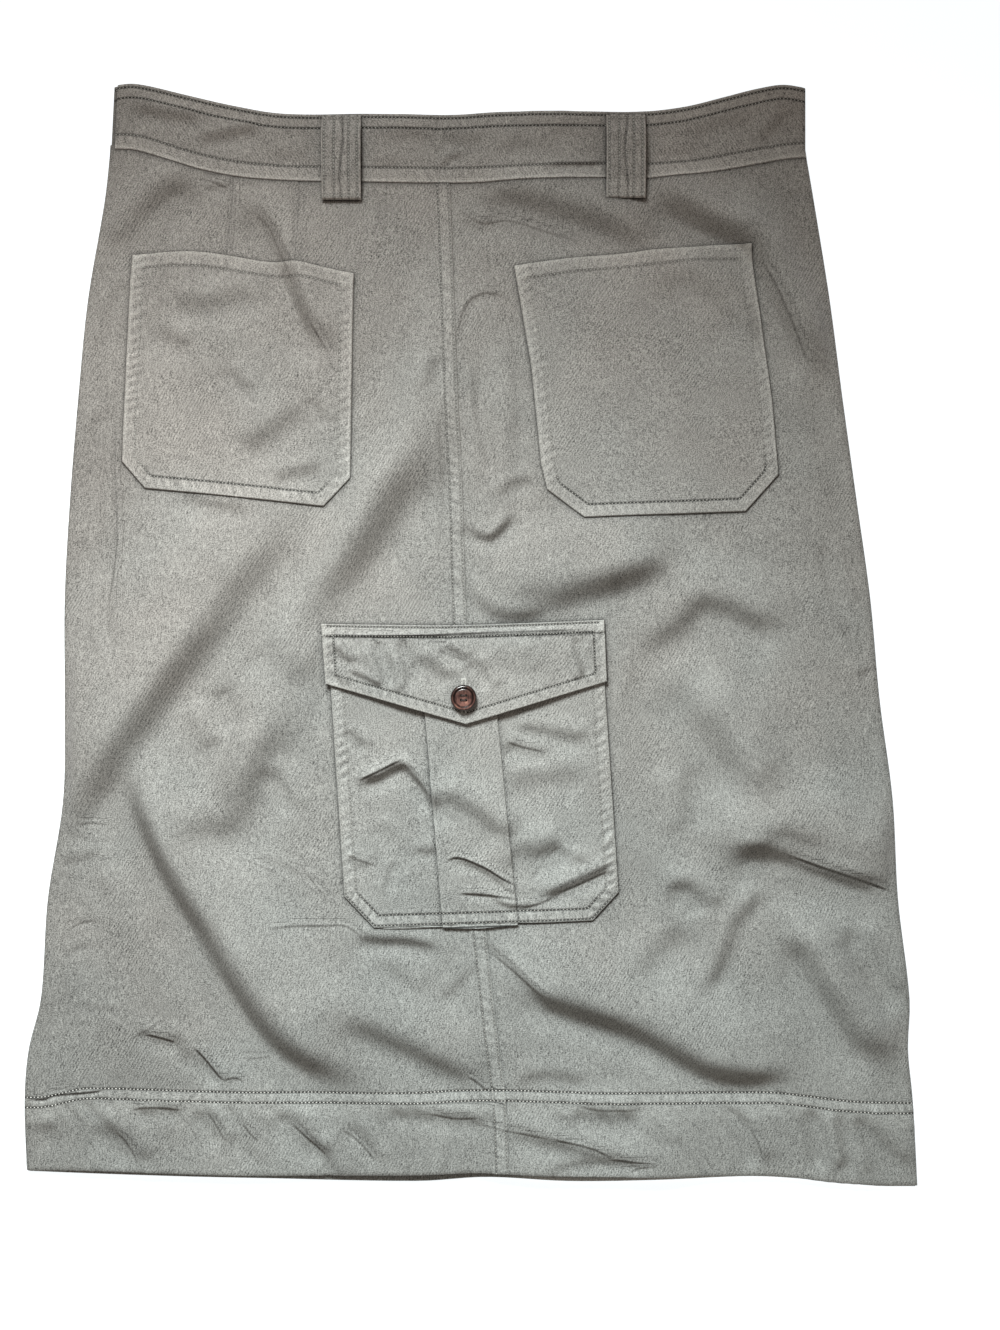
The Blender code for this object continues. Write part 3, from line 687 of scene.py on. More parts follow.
band_lines = borders(front_band_end, side("right", -FRONT_INSET), front_top, waist("seam"))
across = spread(450, 5.0, edge_steps(), edge_steps())
down = spread(45, 1.6, edge_steps(*BAND_ROWS_TOP), edge_steps(*BAND_ROWS_FOOT))
x, drop = patch(band_lines, across, down)
gaps = [np.abs(walk(x, drop, line)[1]) for line in band_lines]
height = FRONT_BAND_TOP - rounded(gaps[0], 0.9, 0.9) - rounded(np.minimum(*gaps[2:]), 0.9, 0.8)
height -= 0.3 * furrows(gaps[0], *BAND_ROWS_TOP)
# painted shade in the slit at the band's open left end, under the back's band
painted_slit_shade = ease((gaps[2] - 0.9) / 0.8) * ease((6 - gaps[2]) / 2)
band_front = lay_cloth("front_waistband", x, drop, height, FRONT_BAND_WALL,
                       twill("twill_front_band", -32, 0.8),
                       0.12 * np.exp(-gaps[0] / 1.2) - 0.95 * painted_slit_shade,
                       row_places(gaps[0], BAND_ROWS_TOP), 0.8)
keep_off_table(band_front)
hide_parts("waistband_front")
band_rows = rows_of_band(band_lines)
sew("front_waistband_stitches", band_rows, tree_of(band_front), 12, below=True)
sew("front_waistband_inner_stitches", band_rows[:2], tree_of(band_front), 13)


# ---- side zip ----
# The closed fastening at the wearer's left, hidden between the layers: one woven strip with a row
# of moulded teeth down its middle, a plain slider at its top and a stop at its end.

ZIP_TOP, ZIP_END = 50.0, 226.0
ZIP_INSET, ZIP_WIDTH = 2.2, 6.6
TAPE_TOP, TAPE_WALL = 2.35, 0.5
TOOTH_PITCH, TOOTH_OFF, TOOTH_SIZE, TOOTH_MIDDLE = 1.6, 0.45, (1.9, 0.9, 0.3), 2.4
SLIDER_SIZE, STOP_SIZE = (4.6, 5.5, 0.5), (4.0, 2.0, 0.45)

tape, tree, shader = material("zip_tape", {"Roughness": 0.8})
tape_place = node(tree, "TexCoord").outputs["Object"]
tape_weave = node(tree, "TexWave", {"Vector": tape_place, "Scale": 420.0, "Distortion": 0.5},
                  bands_direction="Y").outputs["Fac"]
tree.links.new(mixed(tree, tape_weave, (0.17, 0.165, 0.14, 1), (0.25, 0.24, 0.205, 1)),
               shader.inputs["Base Color"])
tree.links.new(bump(tree, tape_weave, 0.5, 0.0001), shader.inputs["Normal"])

zip_drops = np.linspace(ZIP_TOP, ZIP_END, 60)
zip_edge = side("left", ZIP_INSET)(zip_drops)
tape_x = zip_edge[:, None] + np.array([[0.0, 0.3, ZIP_WIDTH - 0.3, ZIP_WIDTH]])
zip_piece = lay_cloth("side_zip_tape", tape_x, zip_drops[:, None] + 0 * tape_x,
                      TAPE_TOP + 0 * tape_x, TAPE_WALL, tape)
choose()
bpy.ops.mesh.primitive_cube_add(size=1)
tooth = bpy.context.object
bpy.ops.object.mode_set(mode="EDIT")
bpy.ops.mesh.select_all(action="SELECT")
bpy.ops.mesh.bevel(offset=0.2, segments=1)
bpy.ops.object.mode_set(mode="OBJECT")
tooth_points = np.array([vert.co for vert in tooth.data.vertices])
tooth_faces = [tuple(face.vertices) for face in tooth.data.polygons]
bpy.data.objects.remove(tooth)
blocks = [(drop, TOOTH_OFF if number % 2 else -TOOTH_OFF, TOOTH_SIZE) for number, drop in
          enumerate(np.arange(ZIP_TOP + 6, ZIP_END - 2, TOOTH_PITCH / 2))]
blocks += [(ZIP_TOP + 4, 0.0, SLIDER_SIZE), (ZIP_END - 1.5, 0.0, STOP_SIZE)]
shapes = []
for drop, off, size in blocks:
    middle_x = float(side("left", ZIP_INSET + ZIP_WIDTH / 2 + off)(drop))
    shapes.append((tooth_points * np.array(size)
                   + np.array([middle_x, LENGTH / 2 - drop, TOOTH_MIDDLE])) * MM)
teeth = scatter("side_zip_teeth", shapes, tooth_faces, tape)
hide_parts("side_zip")
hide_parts("side_zip")


# ---- back panels ----
# Two halves of washed twill, joined by a centre seam whose allowance is felled to the left under
# two rows of sewing, with darts at the waist and a deep turned-up hem. They lie on the front in
# the folds in which the skirt was put down.

LOFT, LOFT_REACH = 2.5, 45.0        # the back rises this much, this far in from its side edges
EDGE_ROUND = 10.0           # folds and creases come up over this distance from there
LOWEST = 2.5                # no trough comes nearer to the table, where the front lies
SOFTNESS = 0.6              # how gently a trough levels out there
PANEL_WALL, PANEL_STEP = 0.9, 2.25
SIDE_ROLL, SIDE_FALL = 2.6, 2.2     # the back rolls down over the front along its side edges
FELL, FELL_RISE = 10.0, 0.7         # how wide and how high the felled allowance is
FELL_ROWS = (1.5, 8.4)
DARTS = (((-152.6, 50), (-156, 88), (-159.4, 122)), ((-110.4, 50), (-112.2, 90), (-113.4, 126)))

# Large folds: points of the crest, how far it reaches to its left at its start and end and to its
# right at its start and end, rise, and the shares of its length in which it fades in and out.
FOLDS = (
    (((-104, 247), (-188, 359), (-282, 495)), (28, 28), (84, 84), 12.5, (0.3, 0.3)),
    (((-12, 97), (-32, 191), (-42, 233), (-64, 268), (-108, 352)), (46, 30), (24, 24), 11.0,
      (0.55, 0.25)),
    (((-93, 323), (-127, 397), (-146, 442), (-169, 482)), (32, 32), (30, 30), 8.0, (0.3, 0.3)),
    (((-222, 428), (-192, 498), (-156, 550), (-119, 601), (-67, 649)), (42, 50), (15, 34), 12.5,
      (0.2, 0.25)),
    (((10, 559), (62, 583), (115, 602), (160, 628), (225, 632)), (50, 46), (26, 20), 11.0,
      (0.25, 0.3)),
    (((-97, 581), (-45, 609), (19, 637)), (28, 28), (24, 24), 5.0, (0.3, 0.3)),
    (((-1, 333), (76, 314), (145, 300)), (48, 48), (26, 26), 9.5, (0.3, 0.3)),
    (((103, 353), (152, 326), (213, 351)), (28, 28), (22, 22), 4.5, (0.3, 0.3)),
    (((139, 385), (172, 420), (200, 468)), (34, 34), (28, 28), 7.0, (0.3, 0.3)),
    (((140, 495), (215, 479), (286, 518)), (44, 44), (34, 38), 9.5, (0.3, 0.25)),
    (((199, 522), (237, 578), (281, 644)), (26, 26), (26, 26), 8.5, (0.3, 0.3)),
    (((-234, 106), (-205, 80), (-170, 66)), (20, 20), (20, 20), -2.0, (0.3, 0.3)),
    (((14, 56), (68, 72), (126, 98)), (24, 24), (20, 20), 3.6, (0.3, 0.3)),
    (((104, 58), (150, 81), (183, 98), (206, 142), (230, 200)), (34, 34), (22, 20), 8.0,
      (0.2, 0.25)),
    (((-130, 78), (-106, 132), (-78, 178)), (28, 28), (18, 18), 3.8, (0.3, 0.3)),
    (((12, 180), (20, 240), (14, 306)), (14, 14), (16, 16), 2.4, (0.3, 0.3)),
    (((-8, 722), (75, 722), (166, 722)), (84, 84), (40, 40), 6.2, (0.3, 0.3)),
    (((-280, 722), (-196, 722), (-104, 722)), (44, 44), (40, 40), 2.2, (0.3, 0.3)),
    (((-102, 12), (2, 12), (118, 12)), (60, 60), (74, 74), 4.8, (0.3, 0.3)),
)

# Creases: points, how far the crest stands to the left of the line and the trough to its right,
# and rise. The cloth falls from crest to trough.
CREASES = (
    # left half, hip to hem
    (((-262, 500), (-244, 462), (-229, 433), (-205, 401), (-178, 369), (-146, 339)), 11, 11, 1.9),
    (((-130, 372), (-92, 330), (-70, 301), (-54, 275), (-42, 254), (-30, 236)), 12, 12, 2.1),
    (((-223, 444), (-214, 470), (-203, 500), (-187, 530), (-169, 560), (-154, 586), (-133, 616),
      (-110, 633), (-84, 646), (-58, 655)), 9, 13, 2.5),
    (((-197, 477), (-176, 482), (-155, 482), (-145, 462), (-137, 437), (-124, 410)), 10, 12, 2.2),
    (((-157, 426), (-166, 411), (-173, 396)), 8, 9, 1.8),
    (((-134, 441), (-123, 454), (-112, 474)), 5, 6, 1.3),
    (((-138, 360), (-118, 377), (-98, 384)), 13, 13, 2.0),
    (((-269, 507), (-255, 505), (-236, 499)), 6, 2, 0.9),
    (((-262, 487), (-242, 491), (-222, 491)), 1.6, 1.6, 0.4),
    (((-218, 614), (-205, 619), (-189, 624)), 4, 4, 1.3),
    (((-199, 611), (-190, 620), (-185, 630), (-178, 642)), 4, 4, 0.8),
    (((-180, 624), (-170, 637), (-160, 649)), 3, 4, 1.4),
    (((-160, 648), (-146, 645)), 2, 2, 0.5),
    (((-264, 548), (-252, 543), (-238, 545)), 2, 2, 0.35),
    (((-266, 566), (-250, 559), (-234, 562)), 2, 2, 0.35),
    (((-255, 597), (-240, 600), (-224, 600)), 2, 2, 0.3),
    (((-243, 514), (-236, 524), (-233, 536)), 4, 4, 0.5),
    (((-142, 499), (-120, 508), (-96, 520)), 2, 2, 0.4),
    (((-130, 549), (-112, 547), (-93, 549)), 2, 2, 0.3),
    (((-121, 503), (-113, 518), (-107, 536)), 2, 2, 0.35),
    (((-78, 553), (-60, 556), (-40, 557), (-18, 562)), 4, 5, 1.6),
    (((-86, 604), (-62, 617), (-36, 629), (-12, 641), (7, 652)), 7, 9, 1.4),
    (((-60, 566), (-46, 578), (-34, 592)), 5, 6, 0.7),
    # left hip and waist
    (((-239, 109), (-222, 98), (-210, 84), (-195, 72), (-174, 64)), 10, 11, 3.4),
    (((-174, 69), (-165, 67), (-155, 68)), 2, 3, 0.9),
    (((-151, 77), (-143, 82), (-135, 88), (-128, 97), (-123, 109), (-117, 124), (-109, 148),
      (-100, 166), (-90, 180)), 7.5, 10, 3.3),
    (((-150, 240), (-130, 226), (-106, 208)), 8, 9, 1.5),
    (((-130, 257), (-112, 252), (-95, 250)), 5, 6, 1.0),
    (((-102, 203), (-97, 212), (-91, 222)), 4, 5, 1.0),
    (((-198, 142), (-170, 143), (-150, 138), (-126, 142)), 7, 8, 1.4),
    (((-206, 158), (-192, 166), (-178, 171)), 6, 6, 1.0),
    (((-157, 183), (-148, 195), (-138, 200)), 5, 5, 1.2),
    (((-241, 174), (-236, 150), (-229, 126)), 4, 5, 1.0),
    (((-250, 264), (-247, 228), (-236, 206)), 5, 5, 1.1),
    (((-233, 264), (-232, 222), (-229, 178)), 2.5, 3, 0.8),
    (((-228, 384), (-237, 366), (-240, 340), (-233, 290), (-232, 230)), 3, 4, 1.1),
    (((-252, 338), (-250, 290), (-251, 238)), 6, 6, 0.8),
    (((-192, 266), (-165, 273), (-138, 277)), 3, 6, 0.7),
    (((-78, 218), (-72, 187), (-68, 158)), 6, 6, 0.8),
    (((-56, 217), (-46, 182), (-40, 146)), 3, 3, 1.0),
    # beside the centre seam
    (((-30, 202), (-27, 189), (-24, 177)), 4, 5, 1.1),
    (((-20, 306), (-18, 260), (-21, 208)), 3, 2, 0.8),
    (((-8.5, 166), (-3, 146), (8, 137), (26, 140)), 2.5, 3, 0.8),
    (((10, 264), (7, 240), (3, 215), (1, 178)), 3, 4, 1.1),
    (((-6, 221), (2, 231), (8, 246)), 2, 2, 0.5),
    (((-3, 284), (3, 292), (12, 295), (20, 289), (28, 279)), 3, 4, 1.7),
    (((15, 270), (27, 260), (43, 258)), 4, 4, 1.0),
    (((-3, 315), (2, 332), (14, 343), (32, 347), (54, 343)), 5, 6, 1.6),
    (((46, 343), (70, 333), (90, 326), (115, 317), (137, 312)), 9, 10, 1.6),
    (((30, 240), (28, 200), (24, 152)), 5, 5, 0.7),
    (((9, 552), (16, 562), (27, 573), (40, 586), (53, 599)), 3, 4, 1.2),
    (((-20, 596), (-6, 582), (3, 570)), 4, 4, 0.6),
    # right half, waist to hip
    (((-2, 71), (28, 76), (57, 84), (82, 91), (106, 103), (122, 110)), 9, 11, 2.9),
    (((-11, 80), (7, 91), (25, 89), (52, 97), (76, 105)), 4, 5, 0.9),
    (((110, 66), (132, 79), (152, 92), (168, 99), (181, 105), (190, 117), (199, 136), (208, 158),
      (218, 180), (226, 198)), 9, 10, 4.8),
    (((222, 190), (236, 214), (246, 262), (253, 306)), 6, 7, 1.2),
    (((126, 118), (146, 130), (166, 146), (180, 172)), 9, 10, 1.6),
    (((163, 147), (172, 153), (179, 161)), 3, 3, 0.6),
    (((203, 71), (211, 70), (219, 70)), 2, 2, 0.8),
    (((232, 296), (240, 319), (248, 343)), 3, 5, 1.3),
    (((227, 336), (234, 350), (242, 361)), 1.6, 2, 0.5),
    (((250, 383), (257, 381), (263, 378)), 2, 3, 0.8),
    (((104, 367), (125, 360), (140, 350), (150, 339), (165, 341), (185, 350),
      (207, 357)), 8, 9, 1.9),
    (((118, 390), (140, 398), (155, 414), (167, 434), (178, 454), (191, 467)), 11, 12, 2.2),
    (((140, 488), (139, 465), (137, 442)), 8, 9, 1.3),
    # right half, thigh to hem
    (((160, 498), (185, 496), (205, 502), (225, 510), (245, 515), (262, 519),
      (278, 526)), 5, 12, 1.7),
    (((183, 492), (204, 486), (224, 498)), 6, 6, 0.9),
    (((124, 523), (140, 521), (150, 528), (157, 538)), 6, 8, 1.7),
    (((103, 582), (120, 564), (142, 545)), 9, 10, 1.5),
    (((143, 592), (158, 580), (168, 556), (176, 540), (197, 519)), 6, 6, 1.3),
    (((194, 556), (213, 561), (222, 572), (229, 586), (240, 605), (252, 622),
      (273, 639)), 9, 10, 2.5),
    (((249, 544), (258, 562), (266, 577), (276, 589), (285, 600)), 6, 8, 1.8),
    (((15, 587), (35, 594), (60, 601), (95, 613), (130, 630), (152, 642), (174, 646), (200, 647),
      (222, 647)), 7, 8, 1.9),
    (((26, 648), (45, 644), (62, 645), (80, 650)), 5, 5, 0.8),
    (((93, 343), (94, 366), (97, 400)), 2, 2, 0.8), (((99, 350), (99, 372), (101, 392)), 2, 2, 0.5),
    (((-284, 616), (-277, 560), (-274, 508)), 2, 2, 0.9),
    # along the hem
    (((-34, 690), (-32, 700), (-33, 709)), 2, 2, 0.7),
    (((-24, 686), (-22, 697), (-23, 708)), 2, 2, 0.7),
    (((-13, 690), (-11, 700), (-13, 709)), 2, 2, 0.7),
    (((-63, 667), (-30, 669), (0, 672), (18, 677)), 5, 5, 1.2),
    (((20, 675), (45, 684), (70, 690), (95, 695), (114, 702)), 5, 7, 1.5),
    (((62, 664), (85, 668), (114, 668)), 7, 8, 1.7),
    (((59, 665), (68, 678), (77, 687)), 3, 3, 0.9),
    (((44, 707), (62, 702), (90, 700), (122, 701)), 5, 3, 1.3),
    (((-102, 683), (-92, 697), (-84, 711)), 4, 5, 1.3),
    (((-77, 673), (-66, 688), (-57, 702)), 4, 5, 1.2),
    (((-119, 663), (-108, 680), (-92, 698)), 6, 7, 1.7),
    (((-173, 663), (-165, 676), (-159, 690)), 5, 6, 1.3),
    (((-151, 659), (-144, 684), (-137, 703)), 4, 5, 0.9),
    (((-224, 667), (-204, 666), (-183, 666)), 4, 4, 1.1),
    (((-244, 673), (-228, 682), (-221, 690), (-215, 702)), 8, 7, 1.8),
    (((-286, 675), (-278, 679), (-268, 676)), 5, 6, 1.0),
    (((166, 659), (179, 673), (184, 688), (191, 703)), 5, 6, 1.5),
    (((226, 663), (231, 688), (234, 707)), 5, 6, 1.7),
    (((243, 666), (248, 688), (253, 710)), 4, 5, 1.2),
    (((252, 665), (265, 682), (284, 706)), 6, 7, 2.1),
    (((120, 672), (126, 682), (134, 690)), 4, 4, 0.6),
)

def free_edge(piece):
    """Edges of a sewn-on piece as a line down its left, along its bottom and up its right."""
    return np.vstack([piece["left"][:-1], piece["bottom"][:-1], piece["right"][::-1]])


# The cargo pocket's outline and sewing, and the creases that it shares with the panels under it.
CARGO_ROWS = (1.4, 8.0)
CARGO = {
    "left": ((-93, 365), (-91, 392), (-82, 528)),
    "right": ((85, 362), (87.1, 392), (96, 525)),
    "bottom": ((-82, 528), (-62.7, 548), (79, 543.5), (96, 525)),
}
CARGO_EDGE = free_edge(CARGO)
CARGO_CREASES = (
    (((-77, 455), (-60, 450), (-45, 443), (-37, 450), (-29, 461), (-23, 476)), 3.4, 4.5, 2.6),
    (((-80, 418), (-74, 424), (-66, 432)), 3, 4, 0.9),
    (((-26, 459), (0, 471), (14, 482), (24, 494)), 8, 9, 2.3),
    (((-16, 501), (-6, 504), (8, 510), (18, 517), (26, 524)), 2.4, 3, 1.3),
    (((-9, 525), (12, 527), (22, 533), (35, 534), (47, 532)), 2, 2, 1.0),
    (((26, 494), (42, 499), (62, 493)), 9, 9, 2.2),
    (((74, 495), (56, 507), (38, 522)), 4, 5, 0.8),
    (((44, 529), (62, 521.5), (76, 515), (95, 506)), 4, 4.5, 2.0),
    (((56, 499), (68, 502), (80, 507)), 4, 4, 0.8),
    (((20, 428), (34, 431), (54, 435)), 4, 5, 1.5),
    (((26, 417), (50, 421), (80, 426)), 5, 6, 1.5),
    (((20, 455), (45, 450), (76, 449)), 8, 8, 1.2),
    (((-56, 526), (-54, 514), (-51, 503)), 3, 3, 0.5),
    (((-86, 500), (-74, 505), (-62, 509)), 4, 4, 0.6),
    (((-38, 497), (-28, 499), (-20, 497)), 4, 3, 0.7),
    (((-60, 478), (-50, 488), (-46, 498)), 4, 5, 0.5),
)

# Creases pressed sharp into the cloth: points, and how sharp. The cloth falls to their right.
PRESSED = (
    (((-213, 617), (-202, 619.5), (-191, 623)), 0.5),
    (((-181, 624), (-171, 635), (-160, 649)), 0.6),
    (((-162, 648), (-154, 645.5), (-147, 648.5)), 0.35),
    (((-149, 633), (-140, 633.5), (-129, 632)), 0.2),
    (((-222, 667), (-210, 664.7), (-185, 666.5)), 0.3),
    (((-172, 666), (-164, 678), (-158, 688)), 0.25), (((-182, 677), (-174, 691), (-173, 704)), 0.2),
    (((-118, 674), (-107, 684), (-92, 697)), 0.35), (((-84, 678), (-71, 689), (-61, 701)), 0.35),
    (((-231, 679), (-221.6, 689.6), (-215, 702)), 0.25),
    (((-148, 675), (-142, 682.6), (-136, 687)), 0.35),
    (((-290, 659.5), (-278, 660), (-271, 657.4), (-258, 656), (-244, 654.6), (-235, 652.5)), 0.9),
    (((-256, 481), (-244, 480.5), (-235, 482)), 0.25),
    (((-154, 501), (-132, 510), (-125, 513)), 0.25),
    (((-121, 506), (-111, 507), (-102, 519), (-92, 531)), 0.25),
    (((-135, 548), (-113, 547), (-95, 547), (-80, 547.5), (-66, 559)), 0.3),
    (((-263, 551), (-253, 545), (-243, 543.5)), 0.25),
    (((-223, 622), (-206, 612), (-196, 606)), 0.2),
    (((10, 562), (30, 578), (49, 595)), 0.3), (((2, 674), (16, 678), (32, 681), (54, 684.5)), 0.25),
    (((50, 683.5), (66, 687), (80, 690.5), (92, 697)), 0.4),
    (((88, 697), (106, 699), (124, 701)), 0.4),
    (((101, 707), (109, 703), (121, 701.5)), 0.3), (((181, 677), (188, 692), (190, 708)), 0.4),
    (((-2, 644), (6, 650), (12, 655)), 0.5), (((-30, 668), (-10, 672), (6, 671)), 0.25),
    (((64, 662), (84, 666), (112, 666)), 0.2),
    (((203, 500), (228, 509), (252, 517), (276, 526)), 0.75),
    (((231, 337), (237, 347), (244, 361)), 0.3), (((92, 314), (94, 330), (96, 348)), 0.3),
    (((-9.5, 170), (-4, 146), (8, 137), (24, 139)), 0.25),
    (((10, 235), (12, 255), (9, 274)), 0.25),
    (((-144, 82), (-131, 94), (-124, 110), (-114, 132)), 0.2),
    (((-104, 156), (-98, 166), (-91, 178)), 0.3), (((-176, 62), (-164, 66), (-156, 69)), 0.4),
    (((-230, 212), (-231, 250), (-230, 300), (-236, 350)), 0.55),
    (((102, 365), (101, 392), (106, 420)), 0.2),
    (((186, 112), (198, 135), (209, 160), (222, 190)), 0.45),
    (((-9, 82), (7, 91), (25, 89), (52, 97), (74, 104)), 0.3),
)
# the darts' seams are drawn in the same way
PRESSED += tuple((dart, 0.45) for dart in DARTS)
CARGO_PRESSED = (
    (((-73, 453), (-58, 445.5), (-43.5, 438.2)), 0.7),
    (((-43, 438.5), (-34, 447.5), (-26, 457), (-22, 470)), 0.3),
    (((-18, 506), (-8, 502.5), (8, 508.5), (19, 515), (31, 522)), 0.8),
    (((-10, 525.5), (4, 526.5), (18, 527.5), (33, 530)), 0.6),
    (((32, 535), (42, 533), (55, 528)), 0.4),
    (((53, 527), (70, 520), (90, 511)), 0.5), (((37, 520), (47, 505), (59, 493)), 0.15),
    (((-82, 500), (-70, 505), (-60, 508)), 0.25), (((22, 427), (34, 431), (48, 434)), 0.3),
)
FLAP_PRESSED = (
    (((-92, 359.4), (-40, 358.9), (20, 356.6), (84, 354.6)), 0.9),
    (((63, 362), (67, 374), (71, 386)), 0.5), (((77, 360), (79, 372), (83, 384)), 0.35),
    (((-64, 365), (-60, 378), (-55, 392)), 0.3), (((-46, 362), (-42, 377), (-38, 392)), 0.25),
    (((-92, 372), (-87, 379), (-82, 386)), 0.3), (((-24, 366), (-12, 372), (0, 376)), 0.25),
)

DEPTH = 1.45                # all creases together, deeper or shallower


def crease(x, drop, points, left, right, rise):
    """A crease's share of the height: up to its crest on the left, down to its trough."""
    line = curved(points)
    near = close_to(line, x, drop, 4 * max(left, right))
    added = np.zeros(x.shape)
    if near.any():
        along, off, total = walk(x[near], drop[near], line)
        ends = faded(along / total, 0.22, 0.22)
        uneven = 1 + 0.25 * wobble(along, 26, round(total * 10))
        reach = np.where(off > 0, right, left)
        added[near] = (-DEPTH * rise * ends * uneven * off / left
                       * np.exp(0.5 - 0.5 * (off / reach) ** 2))
    return added


def lie(x, drop):
    """How high the back's outer face lies above the table, before its seams and sewing."""
    left, right = side("left")(drop), side("right")(drop)
    inside = np.maximum(np.minimum(x - left, right - x), 0.0)
    level = ease((x - left) / (right - left))
    base = (1 - level) * side("left_lift")(drop) + level * side("right_lift")(drop)
    height = np.zeros(x.shape)
    for points, left_reach, right_reach, rise, fades in FOLDS:
        line = curved(points)
        near = close_to(line, x, drop, max(left_reach + right_reach))
        if near.any():
            along, off, total = walk(x[near], drop[near], line)
            share = along / total
            reach = [a + (b - a) * share for a, b in (left_reach, right_reach)]
            width = np.where(off > 0, reach[1], reach[0])
            height[near] += rise * faded(share, *fades) * np.cos(
                np.pi / 2 * np.minimum(np.abs(off) / width, 1)) ** 2
    for row in CREASES:
        height += crease(x, drop, *row)
    in_pocket = ease(-walk(x, drop, CARGO_EDGE)[1] / 8)
    for row in CARGO_CREASES:
        height += crease(x, drop, *row) * in_pocket
    height += 0.35 * unevenness(x, drop, 34, 5) + 0.12 * unevenness(x, drop, 13, 6)
    height = base + LOFT * ease(inside / LOFT_REACH) + height * ease(inside / EDGE_ROUND)
    return LOWEST + SOFTNESS * np.logaddexp(0, (height - LOWEST) / SOFTNESS)


def hem_rows_sink(x):
    """How far the hem's rows of sewing bend towards the hem at their left end."""
    return 6.0 * ease((-246 - x) / 36)


side_edges = [np.stack([side(name)(np.arange(40.0, 720, 20)), np.arange(40.0, 720, 20)], axis=-1)
              for name in ("left", "right")]


def panel_height(x, drop, lines):
    """A back panel's face, with its hem, darts and puckered sewing, its wear and its hem's rows."""
    height = lie(x, drop)
    hem_along, hem_off, _ = walk(x, drop, lines[1])
    from_hem = np.abs(hem_off)
    from_rows = from_hem + hem_rows_sink(x)
    height += 0.5 * (1 - ease((from_rows - 49.5) / 4.5)) - rounded(from_hem, 1.1, 1.7)
    rise, wear = sewing(hem_along, from_rows - HEM_ROWS[0] + 1.5, (1.5, 8.0), 6.2, 0.35, 21, 0.0)
    near_rows = (from_rows > 38) & (from_rows < 62)
    height, wear = height + rise * near_rows, wear * near_rows
    height += puckers(hem_along, from_hem - 44, 26, 9, 15, 0.8, 1.0, 23)
    height += puckers(hem_along, from_hem, 6, 18, 8, 0.5, 0.6, 25)
    # paler at the hem's fold; painted shade darkens it down the left side, at the right of the
    # waist and along both side edges
    wear = wear + 0.10 * np.exp(-from_hem / 1.6)
    wear -= (ease((-150 - 35 * ease((490 - drop) / 90) - x) / 75) * ease((drop - 150) / 120)
             * (0.09 + 0.05 * ease((drop - 500) / 90)))
    wear -= 0.05 * ease((x + 20) / 60) * ease((130 - drop) / 50)
    wear -= 0.2 * sum(np.exp(-np.abs(walk(x, drop, curved(edge))[1]) / 1.3) for edge in side_edges)
    for dart in DARTS:
        off = walk(x, drop, curved(dart))[1]
        height -= 0.5 * furrows(off, 0.0, half=1.8) - 0.3 * ease(1 - np.abs(off - 4) / 5)
        wear = wear - 0.12 * furrows(off, 0.0, half=1.6)
    return height, wear, row_places(from_rows, HEM_ROWS)


left_lines = borders(side("left"), side("seam"), waist("seam", -UNDER_BAND), hem("back"))
across = spread(255, PANEL_STEP, edge_steps(), edge_steps(*FELL_ROWS, fill=1.4))
down = spread(647, PANEL_STEP, (0.0,), edge_steps(*HEM_ROWS, fill=2.2))
x, drop = patch(left_lines, across, down)
height, wear, sewn = panel_height(x, drop, left_lines)
height -= rounded(np.abs(walk(x, drop, left_lines[2])[1]), SIDE_ROLL, SIDE_FALL)
seam_along, seam_off, _ = walk(x, drop, left_lines[3])
from_seam = np.abs(seam_off)
height += FELL_RISE * (1 - ease((from_seam - FELL + 1.0) / 2.4)) - rounded(from_seam, 0.8, 1.2)
rise, seam_wear = sewing(seam_along, from_seam, FELL_ROWS, 6.4, 0.5, 31, 0.35)
height += rise * (1 + 0.9 * ease((drop - 140) / 30) * ease((340 - drop) / 40))
wear += seam_wear
on_hem = np.abs(sewn - ROW_SPACING / 2) < 6
back_left = lay_cloth("back_panel_left", x, drop, height, PANEL_WALL, twill("twill_back_left", 31),
                      wear, np.where(on_hem, sewn, row_places(from_seam, FELL_ROWS)),
                      np.where(on_hem, 1.0, 0.6), PRESSED)
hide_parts("back_left")

right_lines = borders(side("seam", -1.2), side("right"), waist("seam", -UNDER_BAND), hem("back"))
across = spread(260, PANEL_STEP, (0.0, 0.6, 1.2, 1.8, 3.0), edge_steps())
x, drop = patch(right_lines, across, down)
height, wear, sewn = panel_height(x, drop, right_lines)
height -= rounded(np.abs(walk(x, drop, right_lines[3])[1]), SIDE_ROLL, SIDE_FALL)
seam_along, seam_off, _ = walk(x, drop, right_lines[2])
from_seam = np.abs(seam_off)
height += puckers(seam_along, from_seam, 1, 9, 6.6, 0.18, 0.5, 31)
height -= 0.35 * ease(1 - from_seam / 4)
# painted shade along the step down from the felled strip
wear = wear - 0.10 * np.exp(-np.abs(from_seam - 1.2) / 0.9)
back_right = lay_cloth("back_panel_right", x, drop, height, PANEL_WALL,
                       twill("twill_back_right", 30), wear, sewn, 1.0, PRESSED)
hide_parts("back_right")

panel_tree = tree_of(back_left, back_right)
hem_lines = [np.vstack([beside(left_lines[1], -row), beside(right_lines[1], -row)[2:]])
             for row in HEM_ROWS]
for line in hem_lines:
    line[:, 1] += hem_rows_sink(line[:, 0])
sew("hem_stitches", hem_lines, panel_tree, 32, size=(1.5, 0.85, 0.7), finish=hem_thread)
sew("centre_seam_stitches", [beside(left_lines[3], row) for row in FELL_ROWS], panel_tree, 33)


# ---- back waistband ----
# A curved band of two layers with interlining, sewn to the panels along the waist seam and sewn
# through near both edges. Its left end is open at the fastening; its right end is folded round.

BAND_RISE = 1.0
BAND_WALL = 1.5
BETWEEN_ROWS = 5.0          # nearer to an edge than this is its outer row of sewing

